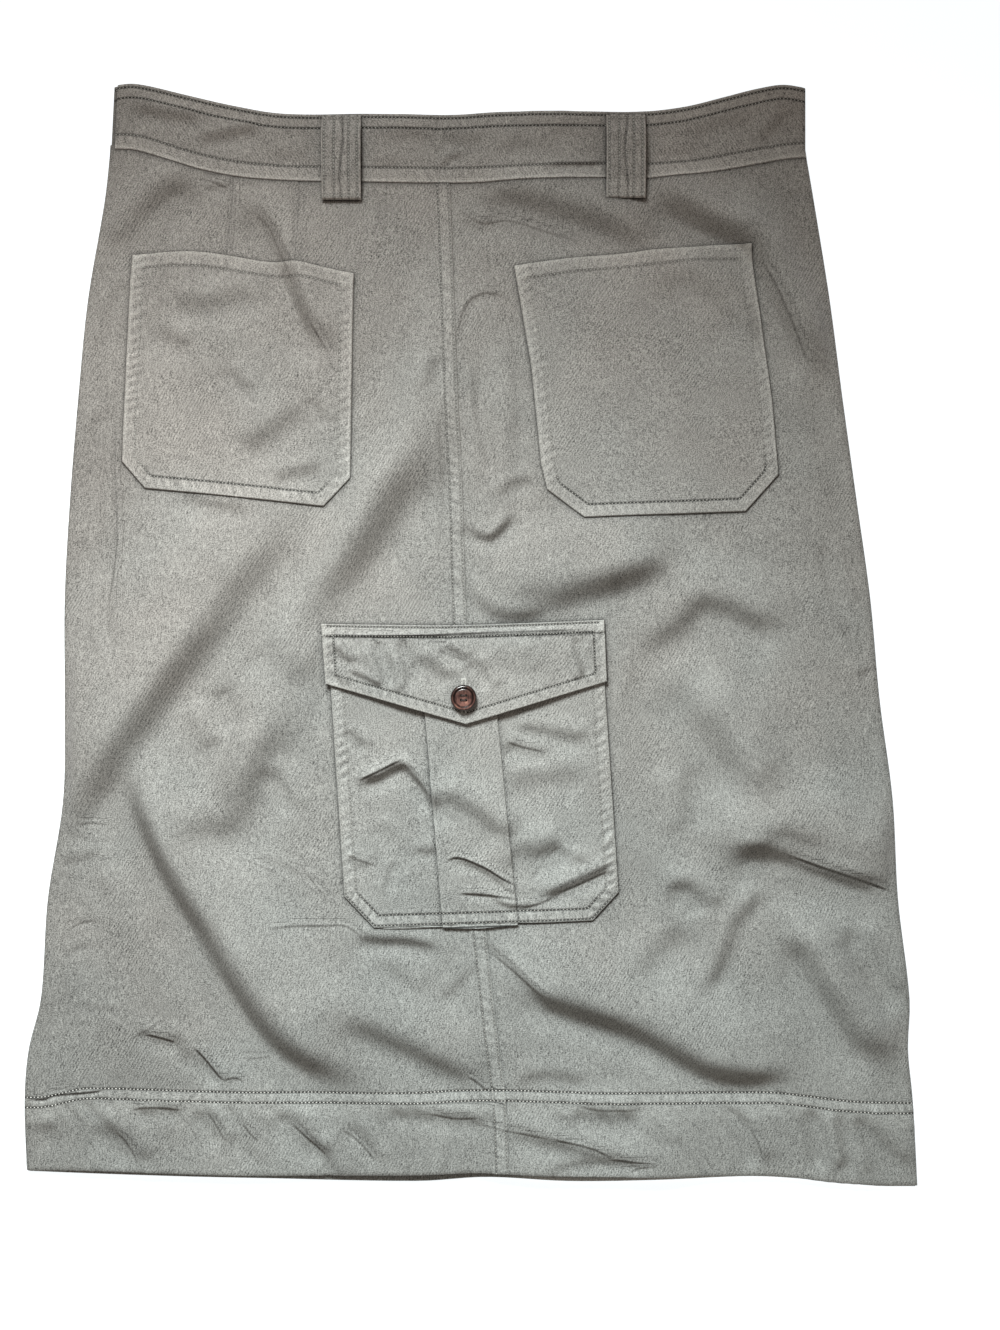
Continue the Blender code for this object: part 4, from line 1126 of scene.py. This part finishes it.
BAND_CREASES = (
    (((-222, 14), (-208, 18), (-196, 21), (-172, 24)), 4, 5, 1.3),
    (((-180, 38), (-165, 35), (-150, 32), (-134, 30)), 4, 5, 1.2),
    (((-132, 50), (-120, 47), (-104, 49)), 5, 5, 0.7),
    (((-66, 50), (-56, 53), (-44, 52)), 4, 3, 0.5),
    (((14, 44), (34, 40), (58, 42)), 5, 5, 0.7), (((-20, 34), (-4, 38), (10, 37)), 5, 5, 0.7),
    (((116, 50), (124, 46), (150, 44)), 4, 4, 0.6), (((140, 34), (162, 26), (186, 24)), 5, 5, 0.8),
    (((184, 38), (196, 28), (206, 14)), 5, 5, 1.0), (((-60, 36), (-40, 34), (-22, 38)), 5, 5, 0.7),
    (((-20, 56), (-13, 49.5), (-3, 47.5)), 2, 2.5, 0.8),
    (((46, 55.5), (66, 54), (88, 53)), 1.6, 2, 0.8),
    (((30, 26), (52, 30), (70, 28)), 6, 6, 0.7),
)


def back_band_end(drop):
    return -229.6 - 0.045 * (drop - 8)


band_lines = borders(back_band_end, side("right"), waist("top"), waist("seam"))
across = spread(450, 2.2, edge_steps(1.6), edge_steps())
down = spread(44.5, 1.5, edge_steps(*BAND_ROWS_TOP), edge_steps(*BAND_ROWS_FOOT))
x, drop = patch(band_lines, across, down)
walks = [walk(x, drop, line) for line in band_lines]
gaps = [np.abs(off) for _, off, _ in walks]
height = lie(x, drop) + BAND_RISE
height -= rounded(gaps[0], 1.0, 1.3) + rounded(gaps[1], 0.8, 1.0) + rounded(gaps[2], 0.9, 1.1)
height -= rounded(gaps[3], 2.0, 2.6)
top_rise, top_wear = sewing(walks[0][0], gaps[0], BAND_ROWS_TOP, 6.8, 0.2, 41, 0.10)
foot_rise, foot_wear = sewing(walks[1][0], gaps[1], BAND_ROWS_FOOT, 6.6, 0.3, 43, 0.6)
height += top_rise * (gaps[0] < 20) + foot_rise * (gaps[1] < 20)
wear = top_wear + foot_wear - 0.3 * ease(1.3 - gaps[3] / 3)
for row in BAND_CREASES:
    height += crease(x, drop, *row)
sewn = rows_nearby(gaps[0], BAND_ROWS_TOP, gaps[1], BAND_ROWS_FOOT)
row_depth = np.where(gaps[1] < BETWEEN_ROWS, 0.1, np.where(gaps[0] < gaps[1], 1.0, 0.75))
band_back = lay_cloth("back_waistband", x, drop, height, BAND_WALL, twill("twill_band", -35), wear,
                      sewn, row_depth)
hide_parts("waistband_back")
note_painted_shade_beside([*band_lines[1][::-1], *band_lines[0]], back_left, back_right, band_front)
sew("waistband_stitches", rows_of_band(band_lines), tree_of(band_back), 44)


# ---- patch pockets ----
# Two flat pockets of one layer with turned-in edges, hemmed at the mouth and sewn to the panels
# with two rows down the sides and along the bottom.

POCKET_WALL, POCKET_STEP = 1.0, 1.7
POCKET_RISE = 1.75          # the pocket's face over the panel's
POCKET_ROWS = (1.5, 8.3)
MOUTH_ROWS = (1.2, 9.3)
TACK_ROWS, TACK_SPACING = 5, 1.5
POCKETS = {
    "left": {
        "top": ((-220, 111.2), (-178.8, 109.9), (-141.7, 114.7), (-106, 118.5), (-75.7, 124.2)),
        "right": ((-75.7, 124.2), (-78, 256.8)),
        "bottom": ((-226.5, 245.7), (-211.2, 263.2), (-95.5, 274.9), (-78, 256.8)),
        "left": ((-220, 111.2), (-226.5, 245.7)),
    },
    "right": {
        "top": ((28, 119), (65, 113.6), (105.3, 109.8), (138.5, 106.4), (164.8, 104.7),
                (181.3, 105.6)),
        "right": ((181.3, 105.6), (188.5, 152.1), (195.7, 208), (199.6, 254.2)),
        "bottom": ((49.4, 263.9), (73.5, 282.1), (178.1, 278.2), (199.6, 254.2)),
        "left": ((28, 119), (39, 184), (45.5, 247.7), (49.4, 263.9)),
    },
}


def inset_line(outline, distance):
    """An outline moved inwards by a distance, with its corners mitred."""
    outline = np.array(outline, float)
    run = np.diff(outline, axis=0)
    run /= np.hypot(run[:, 0], run[:, 1])[:, None]
    normals = np.stack([run[:, 1], -run[:, 0]], axis=-1)
    moved = [outline[0] + distance * normals[0]]
    for point, before, after in zip(outline[1:-1], normals, normals[1:]):
        middle = (before + after) / np.linalg.norm(before + after)
        moved.append(point + distance * middle / middle.dot(before))
    return np.array(moved + [outline[-1] + distance * normals[-1]])


for number, (name, pocket) in enumerate(POCKETS.items()):
    panel = (back_left, back_right)[number]
    sewn_edge = free_edge(pocket)
    mouth = curved(pocket["top"])
    lines = [mouth, pocket["bottom"], pocket["left"], pocket["right"]]
    across = spread(150, POCKET_STEP, edge_steps(*POCKET_ROWS), edge_steps(*POCKET_ROWS))
    down = spread(150, POCKET_STEP, edge_steps(*MOUTH_ROWS), edge_steps(*POCKET_ROWS))
    x, drop = patch(lines, across, down)
    sewn_along, sewn_off, _ = walk(x, drop, sewn_edge)
    mouth_along, mouth_off, _ = walk(x, drop, mouth)
    from_sewn, from_mouth = np.abs(sewn_off), np.abs(mouth_off)
    height = lie(x, drop) + POCKET_RISE
    height += 0.2 * (1 - ease((from_sewn - 8.5) / 3)) + 0.45 * (1 - ease((from_mouth - 8.5) / 2.2))
    height -= rounded(from_sewn, 1.0, 1.5) + rounded(from_mouth, 0.9, 1.1)
    rise, wear = sewing(sewn_along, from_sewn, POCKET_ROWS, 6.2, (0.55, 0.42)[number],
                        51 + 10 * number, 0.4)
    mouth_rise, mouth_wear = sewing(mouth_along, from_mouth, MOUTH_ROWS, 6.8, 0.16,
                                    53 + 10 * number, 0.5)
    height += rise + mouth_rise + 0.25 * unevenness(x, drop, 24, 55 + number) * ease(from_sewn / 20)
    sewn = rows_nearby(from_mouth, MOUTH_ROWS, from_sewn, POCKET_ROWS)
    row_depth = np.where(from_mouth < from_sewn, 0.5, 0.3 + 0.7 * ease((from_mouth - 130) / 20))
    row_depth *= np.where(np.minimum(from_mouth, from_sewn) < BETWEEN_ROWS, 0.3, 1.0)
    cloth = lay_cloth(f"patch_pocket_cloth_{name}", x, drop, height, POCKET_WALL,
                      twill(f"twill_pocket_{name}", (29, 34)[number], 1.02), wear + mouth_wear,
                      sewn, row_depth, PRESSED)
    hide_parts(f"patch_pocket_{name}")
    note_painted_shade_beside([*sewn_edge, *mouth[::-1]], panel)
    pocket_tree = tree_of(cloth)
    sew(f"patch_pocket_stitches_{name}",
        [inset_line(sewn_edge, row) for row in POCKET_ROWS]
        + [inset_line(mouth[::-1], row) for row in MOUTH_ROWS], pocket_tree, 56 + 10 * number)
    tacks = []
    for (corner_x, corner_drop), inward in ((mouth[0], 1), (mouth[-1], -1)):
        for row in range(TACK_ROWS):
            tack_x = corner_x + inward * (1.2 + TACK_SPACING * row)
            tacks.append(((tack_x, corner_drop + 1.5), (tack_x, corner_drop + 9.5)))
    sew(f"patch_pocket_tacks_{name}", tacks, pocket_tree, 58 + 10 * number, pitch=1.6,
        size=(1.5, 0.5, 0.5), lean=20.0)


# ---- cargo pocket ----
# A pocket with a box pleat: its middle part stands on two folds over the side parts. Sewn to the
# panels with two rows down the sides and along the bottom; its mouth is under the flap.

CARGO_RISE = 1.7            # the side parts' face over the panels'
PLEAT_RISE = 1.5            # the middle part's face over theirs
PLEAT = {
    "left": ((-36, 365), (-29.3, 414.7), (-18.2, 548)),
    "right": ((13, 363), (17.2, 410.2), (30.6, 546)),
}


def cargo_height(x, drop):
    """Face of the pocket over the panels, with the sewing along its sides and bottom."""
    sewn_along, sewn_off, _ = walk(x, drop, CARGO_EDGE)
    gap = np.abs(sewn_off)
    height = lie(x, drop) + CARGO_RISE + 0.2 * (1 - ease((gap - 8.3) / 3)) - rounded(gap, 1.0, 1.4)
    rise, wear = sewing(sewn_along, gap, CARGO_ROWS, 6.2, 0.7, 72, 0.4)
    return height + rise + 0.2 * unevenness(x, drop, 22, 71), wear, row_places(gap, CARGO_ROWS)


def pleat_fold(name, drop):
    """x of one of the box pleat's folds at a drop."""
    return np.interp(drop, *np.array(PLEAT[name])[:, ::-1].T)


twill_cargo = twill("twill_cargo", 33, 1.06)
cargo_parts = []
for name, lines in (
        ("left", [((-93, 365), (-22, 365)), ((-82, 528), (-62.7, 548), (-5, 547)),
                  CARGO["left"], ((-22, 365), (-5, 547))]),
        ("right", [((0, 364), (85, 362)), ((17, 545.3), (79, 543.5), (96, 525)),
                   ((0, 364), (17, 545.3)), CARGO["right"]])):
    outer, inner = edge_steps(*CARGO_ROWS), (0.0, 1.0, 2.0)
    ends = (outer, inner) if name == "left" else (inner, outer)
    x, drop = patch(lines, spread(88, POCKET_STEP, *ends), spread(180, POCKET_STEP, (0.0,), outer))
    height, wear, sewn = cargo_height(x, drop)
    inward = (x - pleat_fold("left", drop)) if name == "left" else (pleat_fold("right", drop) - x)
    height -= 0.5 * ease((inward + 1) / 3)
    # painted shade beside the pleat's folds
    wear = wear - 0.6 * np.exp(-np.abs(inward) / 1.3)
    cargo_parts.append(lay_cloth(f"cargo_{name}", x, drop, height, POCKET_WALL, twill_cargo, wear,
                                 sewn, 0.4 + 0.6 * ease((drop - 515) / 20), CARGO_PRESSED))

pleat_lines = [(PLEAT["left"][0], PLEAT["right"][0]),
               (PLEAT["left"][-1], (6, 548.3), PLEAT["right"][-1]), PLEAT["left"], PLEAT["right"]]
x, drop = patch(pleat_lines, spread(48, 1.6, edge_steps(), edge_steps()),
                spread(183, POCKET_STEP, (0.0,), edge_steps(*CARGO_ROWS)))
height, wear, sewn = cargo_height(x, drop)
from_fold = np.min([np.abs(walk(x, drop, fold)[1]) for fold in PLEAT.values()], axis=0)
height += PLEAT_RISE - 0.9 * ease((drop - 528) / 14) - rounded(from_fold, 1.0, 1.2)
cargo = lay_cloth("cargo_pocket_cloth", x, drop, height, POCKET_WALL, twill_cargo,
                  wear + 0.25 * np.exp(-from_fold / 0.9), sewn, 1.0, CARGO_PRESSED)
choose(*cargo_parts, cargo)
bpy.ops.object.join()
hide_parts("cargo_pocket")
cargo_tree = tree_of(cargo)
under_flap = CARGO_EDGE[1:-1]
note_painted_shade_beside(under_flap, back_left, back_right)
sew("cargo_pocket_stitches", [inset_line(under_flap, row) for row in CARGO_ROWS], cargo_tree, 73)


# ---- cargo flap ----
# A pointed flap of two layers, sewn to the panels along its top with two rows and sewn through
# along its sides and its point. It hangs free over the pocket's mouth.

FLAP_WALL, FLAP_STEP = 1.3, 1.5
FLAP_RISE, FLAP_CROWN = 1.6, 1.4
FLAP_TOP_ROWS = (1.6, 7.6)
FLAP_ROWS = (1.1, 7.2)
FLAP_OUTLINE = {
    "top": ((-96.7, 351), (-56, 351.6), (-15, 351.9), (36, 350.4), (86.5, 348.4)),
    "bottom": ((-94, 390), (-3, 416), (88.1, 388.4)),
    "left": ((-96.7, 351), (-94, 390)),
    "right": ((86.5, 348.4), (88.1, 388.4)),
}
FLAP_CREASES = (
    (((-90, 363), (-83, 371), (-74, 377)), 3, 3.5, 1.4),
    (((-80, 381), (-68, 386), (-56, 392)), 2, 2, 0.8),
    (((-56, 394), (-59, 378), (-66, 362)), 4, 4.5, 1.8),
    (((-40, 396), (-44, 378), (-51, 362)), 4, 4.5, 1.8),
    (((-18, 364), (-10, 369), (-2, 375)), 3.5, 4, 1.4),
    (((-36, 370), (-22, 379), (-10, 388)), 5, 6, 1.8),
    (((74, 388), (70, 374), (63, 361)), 3.5, 4, 1.6),
    (((84, 385), (80, 372), (76, 361)), 3, 3, 1.2),
    (((8, 371), (28, 377), (50, 379)), 6, 7, 1.1), (((2, 372), (10, 382), (14, 394)), 4, 5, 1.2),
    (((-92, 380), (-86, 387), (-80, 393)), 3, 3, 1.0),
    (((20, 362), (30, 368), (44, 370)), 5, 5, 0.8),
)

flap_lines = [curved(FLAP_OUTLINE["top"]), FLAP_OUTLINE["bottom"], FLAP_OUTLINE["left"],
              FLAP_OUTLINE["right"]]
flap_edge = free_edge(FLAP_OUTLINE)
x, drop = patch(flap_lines, spread(183, FLAP_STEP, edge_steps(*FLAP_ROWS), edge_steps(*FLAP_ROWS)),
                spread(50, FLAP_STEP, edge_steps(*FLAP_TOP_ROWS), edge_steps(*FLAP_ROWS)))
top_along, top_off, _ = walk(x, drop, flap_lines[0])
free_along, free_off, _ = walk(x, drop, flap_edge)
from_top, from_free = np.abs(top_off), np.abs(free_off)
# The flap bows up over the pocket's pleat, most over its two folds.
beside_pleat = np.maximum(np.maximum(pleat_fold("left", drop) - 3 - x,
                                     x - pleat_fold("right", drop) - 3), 0)
crown = FLAP_CROWN * (1 - ease(beside_pleat / 75))
crown += 1.0 * np.exp(-((np.abs(x + 3) - 36) / 17) ** 2) * ease((from_top - 14) / 22)
height = (lie(x, drop) + FLAP_RISE + ease(from_top / 15) * (2.2 + crown)
          + 0.03 * np.maximum(from_top - 12, 0))
height += 1.3 * (1 - ease((from_top - FLAP_TOP_ROWS[1] + 0.3) / 1.5))
height -= rounded(from_top, 0.8, 1.3) + rounded(from_free, 0.9, 1.0)
top_rise, top_wear = sewing(top_along, from_top, FLAP_TOP_ROWS, 6.0, 0.3, 81, 0.4)
free_rise, free_wear = sewing(free_along, from_free, FLAP_ROWS, 6.0, 0.4, 83, 0.6)
height += top_rise + free_rise
for row in FLAP_CREASES:
    height += crease(x, drop, *row) * ease(from_free / 9)
# painted shade where the flap steps down below its second top row
wear = top_wear + free_wear - 0.9 * furrows(from_top, FLAP_TOP_ROWS[1] + 0.4, half=1.3)
sewn = rows_nearby(from_top, FLAP_TOP_ROWS, from_free, FLAP_ROWS)
flap = lay_cloth("cargo_flap_cloth", x, drop, height, FLAP_WALL, twill("twill_flap", 36), wear,
                 sewn, np.where(from_free < 4, 0.3, 1.0), FLAP_PRESSED)
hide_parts("cargo_flap")
flap_tree = tree_of(flap)
note_painted_shade_beside([*flap_edge, *flap_lines[0][::-1]], back_left, back_right)
sew("flap_stitches", [inset_line(flap_lines[0][::-1], row) for row in FLAP_TOP_ROWS]
    + [inset_line(flap_edge, row) for row in FLAP_ROWS], flap_tree, 84, pitch=2.0,
    size=(1.6, 0.55, 0.45))


# ---- button and buttonhole ----
# A four-hole button of mottled brown horn-like resin with a raised rim, sewn to the pocket through
# an upright worked buttonhole in the flap.

BUTTON_PLACE = (-4.5, 398.8)
BUTTON_RADIUS = 8.4
BUTTON_PROFILE = ((0.0, 2.1), (3.6, 2.15), (5.1, 2.25), (5.5, 2.1), (5.8, 1.9), (6.2, 2.1),
                  (6.6, 2.9), (7.1, 3.2), (7.8, 3.0), (8.3, 2.3), (8.4, 1.6), (8.1, 0.9),
                  (7.3, 0.35), (5.8, 0.0), (0.0, 0.0))
HOLE_RADIUS, HOLE_SPACING = 0.95, 3.0

# Streaked and clouded horn, with painted shade in the groove inside its rim and down the rim's
# outer side, a paler painted highlight on the rim's crest, and painted light on the lower part of
# its dish.
horn, tree, shader = material("horn_button", {"Roughness": 0.28, "Coat Weight": 0.35,
                                              "Coat Roughness": 0.15})
horn_place = node(tree, "TexCoord").outputs["Object"]
streaks = noise(tree, horn_place, 1.0, 4.0, (520, 190, 300))
clouds = noise(tree, horn_place, 170, 3.0)
mottle = maths("ADD", maths("MULTIPLY", streaks, 0.6), maths("MULTIPLY", clouds, 0.4))
horn_share = node(tree, "MapRange", {"Value": mottle, "From Min": 0.36,
                                     "From Max": 0.66}).outputs[0]
horn_ramp = node(tree, "ValToRGB", {"Fac": horn_share})
horn_ramp.color_ramp.elements[0].color = (0.022, 0.010, 0.009, 1)
horn_ramp.color_ramp.elements[1].color = (0.27, 0.135, 0.10, 1)
horn_ramp.color_ramp.elements.new(0.55).color = (0.095, 0.045, 0.037, 1)
centred = node(tree, "Mapping", {"Vector": horn_place, "Location": (
    -BUTTON_PLACE[0] * MM, (BUTTON_PLACE[1] - LENGTH / 2) * MM, 0), "Scale": (1, 1, 0)}).outputs[0]
from_centre = node(tree, "VectorMath", {0: centred}, operation="LENGTH").outputs["Value"]
# painted rim light and shade: dark in the groove and on the outer side, lighter on the crest
rim_light_ramp = node(tree, "ValToRGB", {
    "Fac": maths("MULTIPLY", from_centre, 1 / (BUTTON_RADIUS * MM))})
rim_light_and_shade = rim_light_ramp.color_ramp
rim_light_and_shade.elements[0].position, rim_light_and_shade.elements[0].color = 0.62, (1, 1, 1, 1)
rim_light_and_shade.elements[1].position, rim_light_and_shade.elements[1].color = 1.0, (0.1, 0.1, 0.1, 1)
for place, light in ((0.70, 0.12), (0.77, 0.12), (0.84, 0.75), (0.93, 0.12)):
    rim_light_and_shade.elements.new(place).color = (light, light, light, 1)
# painted light: the dish is paler towards its lower part, where the lamp's light falls into it
lower = node(tree, "MapRange", {"Value": node(tree, "SeparateXYZ", {0: centred}).outputs["Y"],
                                "From Min": 0.004, "From Max": -0.006, "To Min": 1.0,
                                "To Max": 2.9}).outputs[0]
dish_with_painted_light = scaled(tree, horn_ramp.outputs[0], lower)
tree.links.new(mixed(tree, 1.0, dish_with_painted_light, rim_light_ramp.outputs[0], "MULTIPLY"),
               shader.inputs["Base Color"])
tree.links.new(bump(tree, streaks, 0.15, 0.0002), shader.inputs["Normal"])

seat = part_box("flap_button")[0][2] / MM
centre = Vector((BUTTON_PLACE[0] * MM, (LENGTH / 2 - BUTTON_PLACE[1]) * MM, 0))
mesh = bpy.data.meshes.new("four_hole_button")
mesh.from_pydata([(radius * MM, 0, (seat + level) * MM) for radius, level in BUTTON_PROFILE],
                 [(n, n + 1) for n in range(len(BUTTON_PROFILE) - 1)], [])
button = bpy.data.objects.new("four_hole_button", mesh)
scene.collection.objects.link(button)
choose(button)
bpy.ops.object.mode_set(mode="EDIT")
bpy.ops.mesh.select_all(action="SELECT")
bpy.ops.mesh.spin(steps=64, angle=math.tau, center=(0, 0, 0), axis=(0, 0, 1))
bpy.ops.mesh.select_all(action="SELECT")
bpy.ops.mesh.remove_doubles(threshold=0.00001)
bpy.ops.mesh.normals_make_consistent(inside=False)
bpy.ops.object.mode_set(mode="OBJECT")
button.location = centre
bpy.ops.object.transform_apply(location=True, rotation=False, scale=False)
hole_places = []
for number in range(4):
    angle = math.tau * (number + 0.5) / 4
    place = centre + (Vector((math.cos(angle), math.sin(angle), 0)) * HOLE_SPACING / math.sqrt(2)
                      * MM)
    hole_places.append(place)
    choose()
    bpy.ops.mesh.primitive_cylinder_add(vertices=20, radius=HOLE_RADIUS * MM, depth=0.02,
                                        location=place + Vector((0, 0, seat * MM)))
    drill = bpy.context.object
    cut = button.modifiers.new("hole", "BOOLEAN")
    cut.operation, cut.solver, cut.object = "DIFFERENCE", "EXACT", drill
    choose(button)
    bpy.ops.object.modifier_apply(modifier=cut.name)
    bpy.data.objects.remove(drill)
choose(button)
bpy.ops.object.shade_smooth_by_angle(angle=math.radians(40))
button.data.materials.append(horn)
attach(button, "root")
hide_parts("flap_button")

holes = [(place.x / MM, LENGTH / 2 - place.y / MM) for place in hole_places]
crossings = [((holes[start][0], holes[start][1] + off), (holes[end][0], holes[end][1] + off))
             for start, end in ((0, 1), (3, 2)) for off in (-0.3, 0.3)]
sew("button_thread", crossings, tree_of(button), 91, pitch=3.2, size=(3.4, 0.5, 0.9), lean=0.0,
    sink=-0.25, finish=spun("button_thread", (0.05, 0.03, 0.028), (0.12, 0.08, 0.07)))

SLIT_TOP, SLIT_END, SLIT_PITCH = 387.6, 409.0, 0.62
slit_x = BUTTON_PLACE[0]
slit_stitches = [((slit_x + 0.3 * way, drop), (slit_x + 1.9 * way, drop))
                 for way in (-1, 1) for drop in np.arange(SLIT_TOP, SLIT_END, SLIT_PITCH)]
slit_stitches += [((slit_x + off, SLIT_TOP - 1.5), (slit_x + off, SLIT_TOP + 0.1))
                  for off in np.arange(-1.5, 1.6, 0.5)]
sew("buttonhole_stitches", slit_stitches, flap_tree, 92, pitch=2.0, size=(1.8, 0.6, 0.8), lean=0.0,
    finish=spun("buttonhole_thread", (0.7, 0.7, 0.66), (0.95, 0.94, 0.9)))


# ---- belt loops ----
# Straps of folded twill, each with two rows of sewing beside both edges and a furrow down the
# middle, sewn down at their turned-in ends and standing clear of the band between them.

LOOP_WIDTH, LOOP_LENGTH = 25.4, 54.0
LOOP_HALF = LOOP_WIDTH / 2
LOOP_TOPS = {"belt_loop_left": (-83.5, 22.8), "belt_loop_right": (100.2, 22.0)}
LOOP_ROWS = (-10.9, -4.6, 4.9, 10.4)
LOOP_END_ROW = 2.2          # from each end
LOOP_WALL = 1.3
LOOP_SLOPE = 39             # below here the strap comes down to the panels
LOOP_GRID = (-12.7, -12.55, -12.3, -11.9, -8.5, -6.8, -3.2, -2.4, -1.8, -1.2, -0.6, 0.0, 0.6,
             1.2, 1.8, 2.4, 3.2, 6.6, 8.2, 11.6, 12.1, 12.45, 12.7)
END_STEPS = np.array([0.12, 0.35, 0.7])

for number, (name, (centre_x, top)) in enumerate(LOOP_TOPS.items()):
    solid = bpy.data.objects[name]
    solid_tree = BVHTree.FromPolygons([vert.co.copy() for vert in solid.data.vertices],
                                      [list(face.vertices) for face in solid.data.polygons])
    downs = np.array(sorted({*np.round(np.arange(0, LOOP_LENGTH + 0.1, 1.5), 2), *END_STEPS,
                             *(LOOP_LENGTH - END_STEPS)}))
    acrosses = np.array(sorted([*LOOP_GRID, *(row + off for row in LOOP_ROWS
                                              for off in (-0.75, -0.25, 0.25, 0.75))]))
    # the strap's level down its length is the solid's, with its lower part sloping evenly
    levels = []
    for down in downs:
        inner = min(max(down, 0.6), LOOP_LENGTH - 0.6)
        spots = [solid_tree.ray_cast(Vector(((centre_x + off) * MM, (LENGTH / 2 - top - inner) * MM,
                                             0.1)), Vector((0, 0, -1)))[0] for off in (-6, 6)]
        levels.append(max(spot.z / MM for spot in spots))
    levels = np.array(levels)
    slope = downs > LOOP_SLOPE
    levels[slope] = np.interp(downs[slope], (LOOP_SLOPE, LOOP_LENGTH),
                              (np.interp(LOOP_SLOPE, downs, levels), levels[-1] + 1.6))
    for _ in range(6):
        levels[1:-1] = (levels[:-2] + 2 * levels[1:-1] + levels[2:]) / 4
    off_centre = acrosses[None, :] + 0 * downs[:, None]
    x = centre_x + off_centre
    drop = top + downs[:, None] + 0 * x
    gap = LOOP_HALF - np.abs(off_centre)
    from_end = np.minimum(downs, LOOP_LENGTH - downs)[:, None] + 0 * x
    from_middle = off_centre - 1.1 * np.sin((drop - top) / 8.5 + 2 * number)
    height = levels[:, None] + 0 * x
    height -= rounded(gap, 0.9, 1.1) + rounded(from_end, 1.0, 1.6)
    height -= 0.3 * furrows(off_centre, *LOOP_ROWS) + 0.8 * furrows(from_middle, 0.2, half=1.4)
    # between its two pairs of rows the strap swells, with fine ripples across it
    from_pair = np.abs(np.abs(off_centre) - 7.7)
    height += 0.25 * np.exp(-((np.abs(off_centre) - 7.6) / 2.0) ** 2)
    height += 0.12 * np.sin(drop / 1.05 + np.sign(off_centre)) * (from_pair < 3)
    # paler edges and ends from wear; painted shade down the middle furrow, and painted light on the
    # foot where the strap slopes down to the panels
    wear = (0.4 * np.exp(-gap / 0.9) - 0.6 * furrows(from_middle, 0.2, half=1.2)
            + 0.25 * np.exp(-from_end / 1.6) + 0.25 * ease((drop - top - 40) / 6))
    from_row = np.min([np.abs(from_end - LOOP_END_ROW),
                       *(np.abs(off_centre - row) for row in LOOP_ROWS)], axis=0)
    strap = lay_cloth(f"{name}_strap", x, drop, height, LOOP_WALL,
                      twill(f"twill_{name}", -30, 0.97), wear, np.minimum(from_row, 3.0), 0.55)
    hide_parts(name)
    bottom = top + LOOP_LENGTH
    note_painted_shade_beside([(centre_x - LOOP_HALF, top), (centre_x - LOOP_HALF, bottom),
                 (centre_x + LOOP_HALF, bottom), (centre_x + LOOP_HALF, top)],
                band_back, back_left, back_right)
    rows = [((centre_x + row, top + 0.8), (centre_x + row, bottom - 0.8)) for row in LOOP_ROWS]
    rows += [((centre_x - 12, row), (centre_x + 12, row))
             for row in (top + LOOP_END_ROW, bottom - LOOP_END_ROW)]
    sew(f"{name}_stitches", rows, tree_of(strap), 95 + number, pitch=2.1, size=(1.7, 0.55, 0.5))


# ---- table, light and camera ----
# A plain pale table that gives off some light, one soft light above the waist, and weak warm light
# all round.

TABLE_WIDTH, TABLE_TOP = 60, -0.0006    # in metres; just under the front's stitches

choose()
bpy.ops.mesh.primitive_plane_add(size=TABLE_WIDTH, location=(0, 0, TABLE_TOP))
table = bpy.context.object
table.name = "table"
table.data.materials.append(material("pale_table", {
    "Base Color": (0.5, 0.5, 0.5, 1), "Roughness": 0.9, "Emission Color": (0.93, 0.97, 1.0, 1),
    "Emission Strength": 0.92})[0])

world = bpy.data.worlds.new("studio")
scene.world = world
world.use_nodes = True
background = world.node_tree.nodes["Background"].inputs
background["Color"].default_value = (1.0, 0.88, 0.77, 1)
background["Strength"].default_value = 0.24

light = bpy.data.lights.new("light_over_waist", "SPOT")
light.energy, light.color = 97.5, (0.93, 0.985, 0.97)
light.spot_size, light.spot_blend, light.shadow_soft_size = math.radians(95), 1.0, 0.2
lamp = bpy.data.objects.new("light_over_waist", light)
scene.collection.objects.link(lamp)
lamp.location = (-0.2, 0.67, 0.83)
aim = Vector((-0.08, -1.1, 0)) - lamp.location
lamp.rotation_euler = aim.to_track_quat("-Z", "Y").to_euler()

camera = bpy.data.objects.new("camera", bpy.data.cameras.new("camera"))
scene.collection.objects.link(camera)
camera.data.lens, camera.data.sensor_width = 50, 36
camera.location = (0.0189, -0.0192, 1.2037)
camera.rotation_euler = (0, 0, 0)
scene.camera = camera
scene.view_settings.view_transform = "Standard"
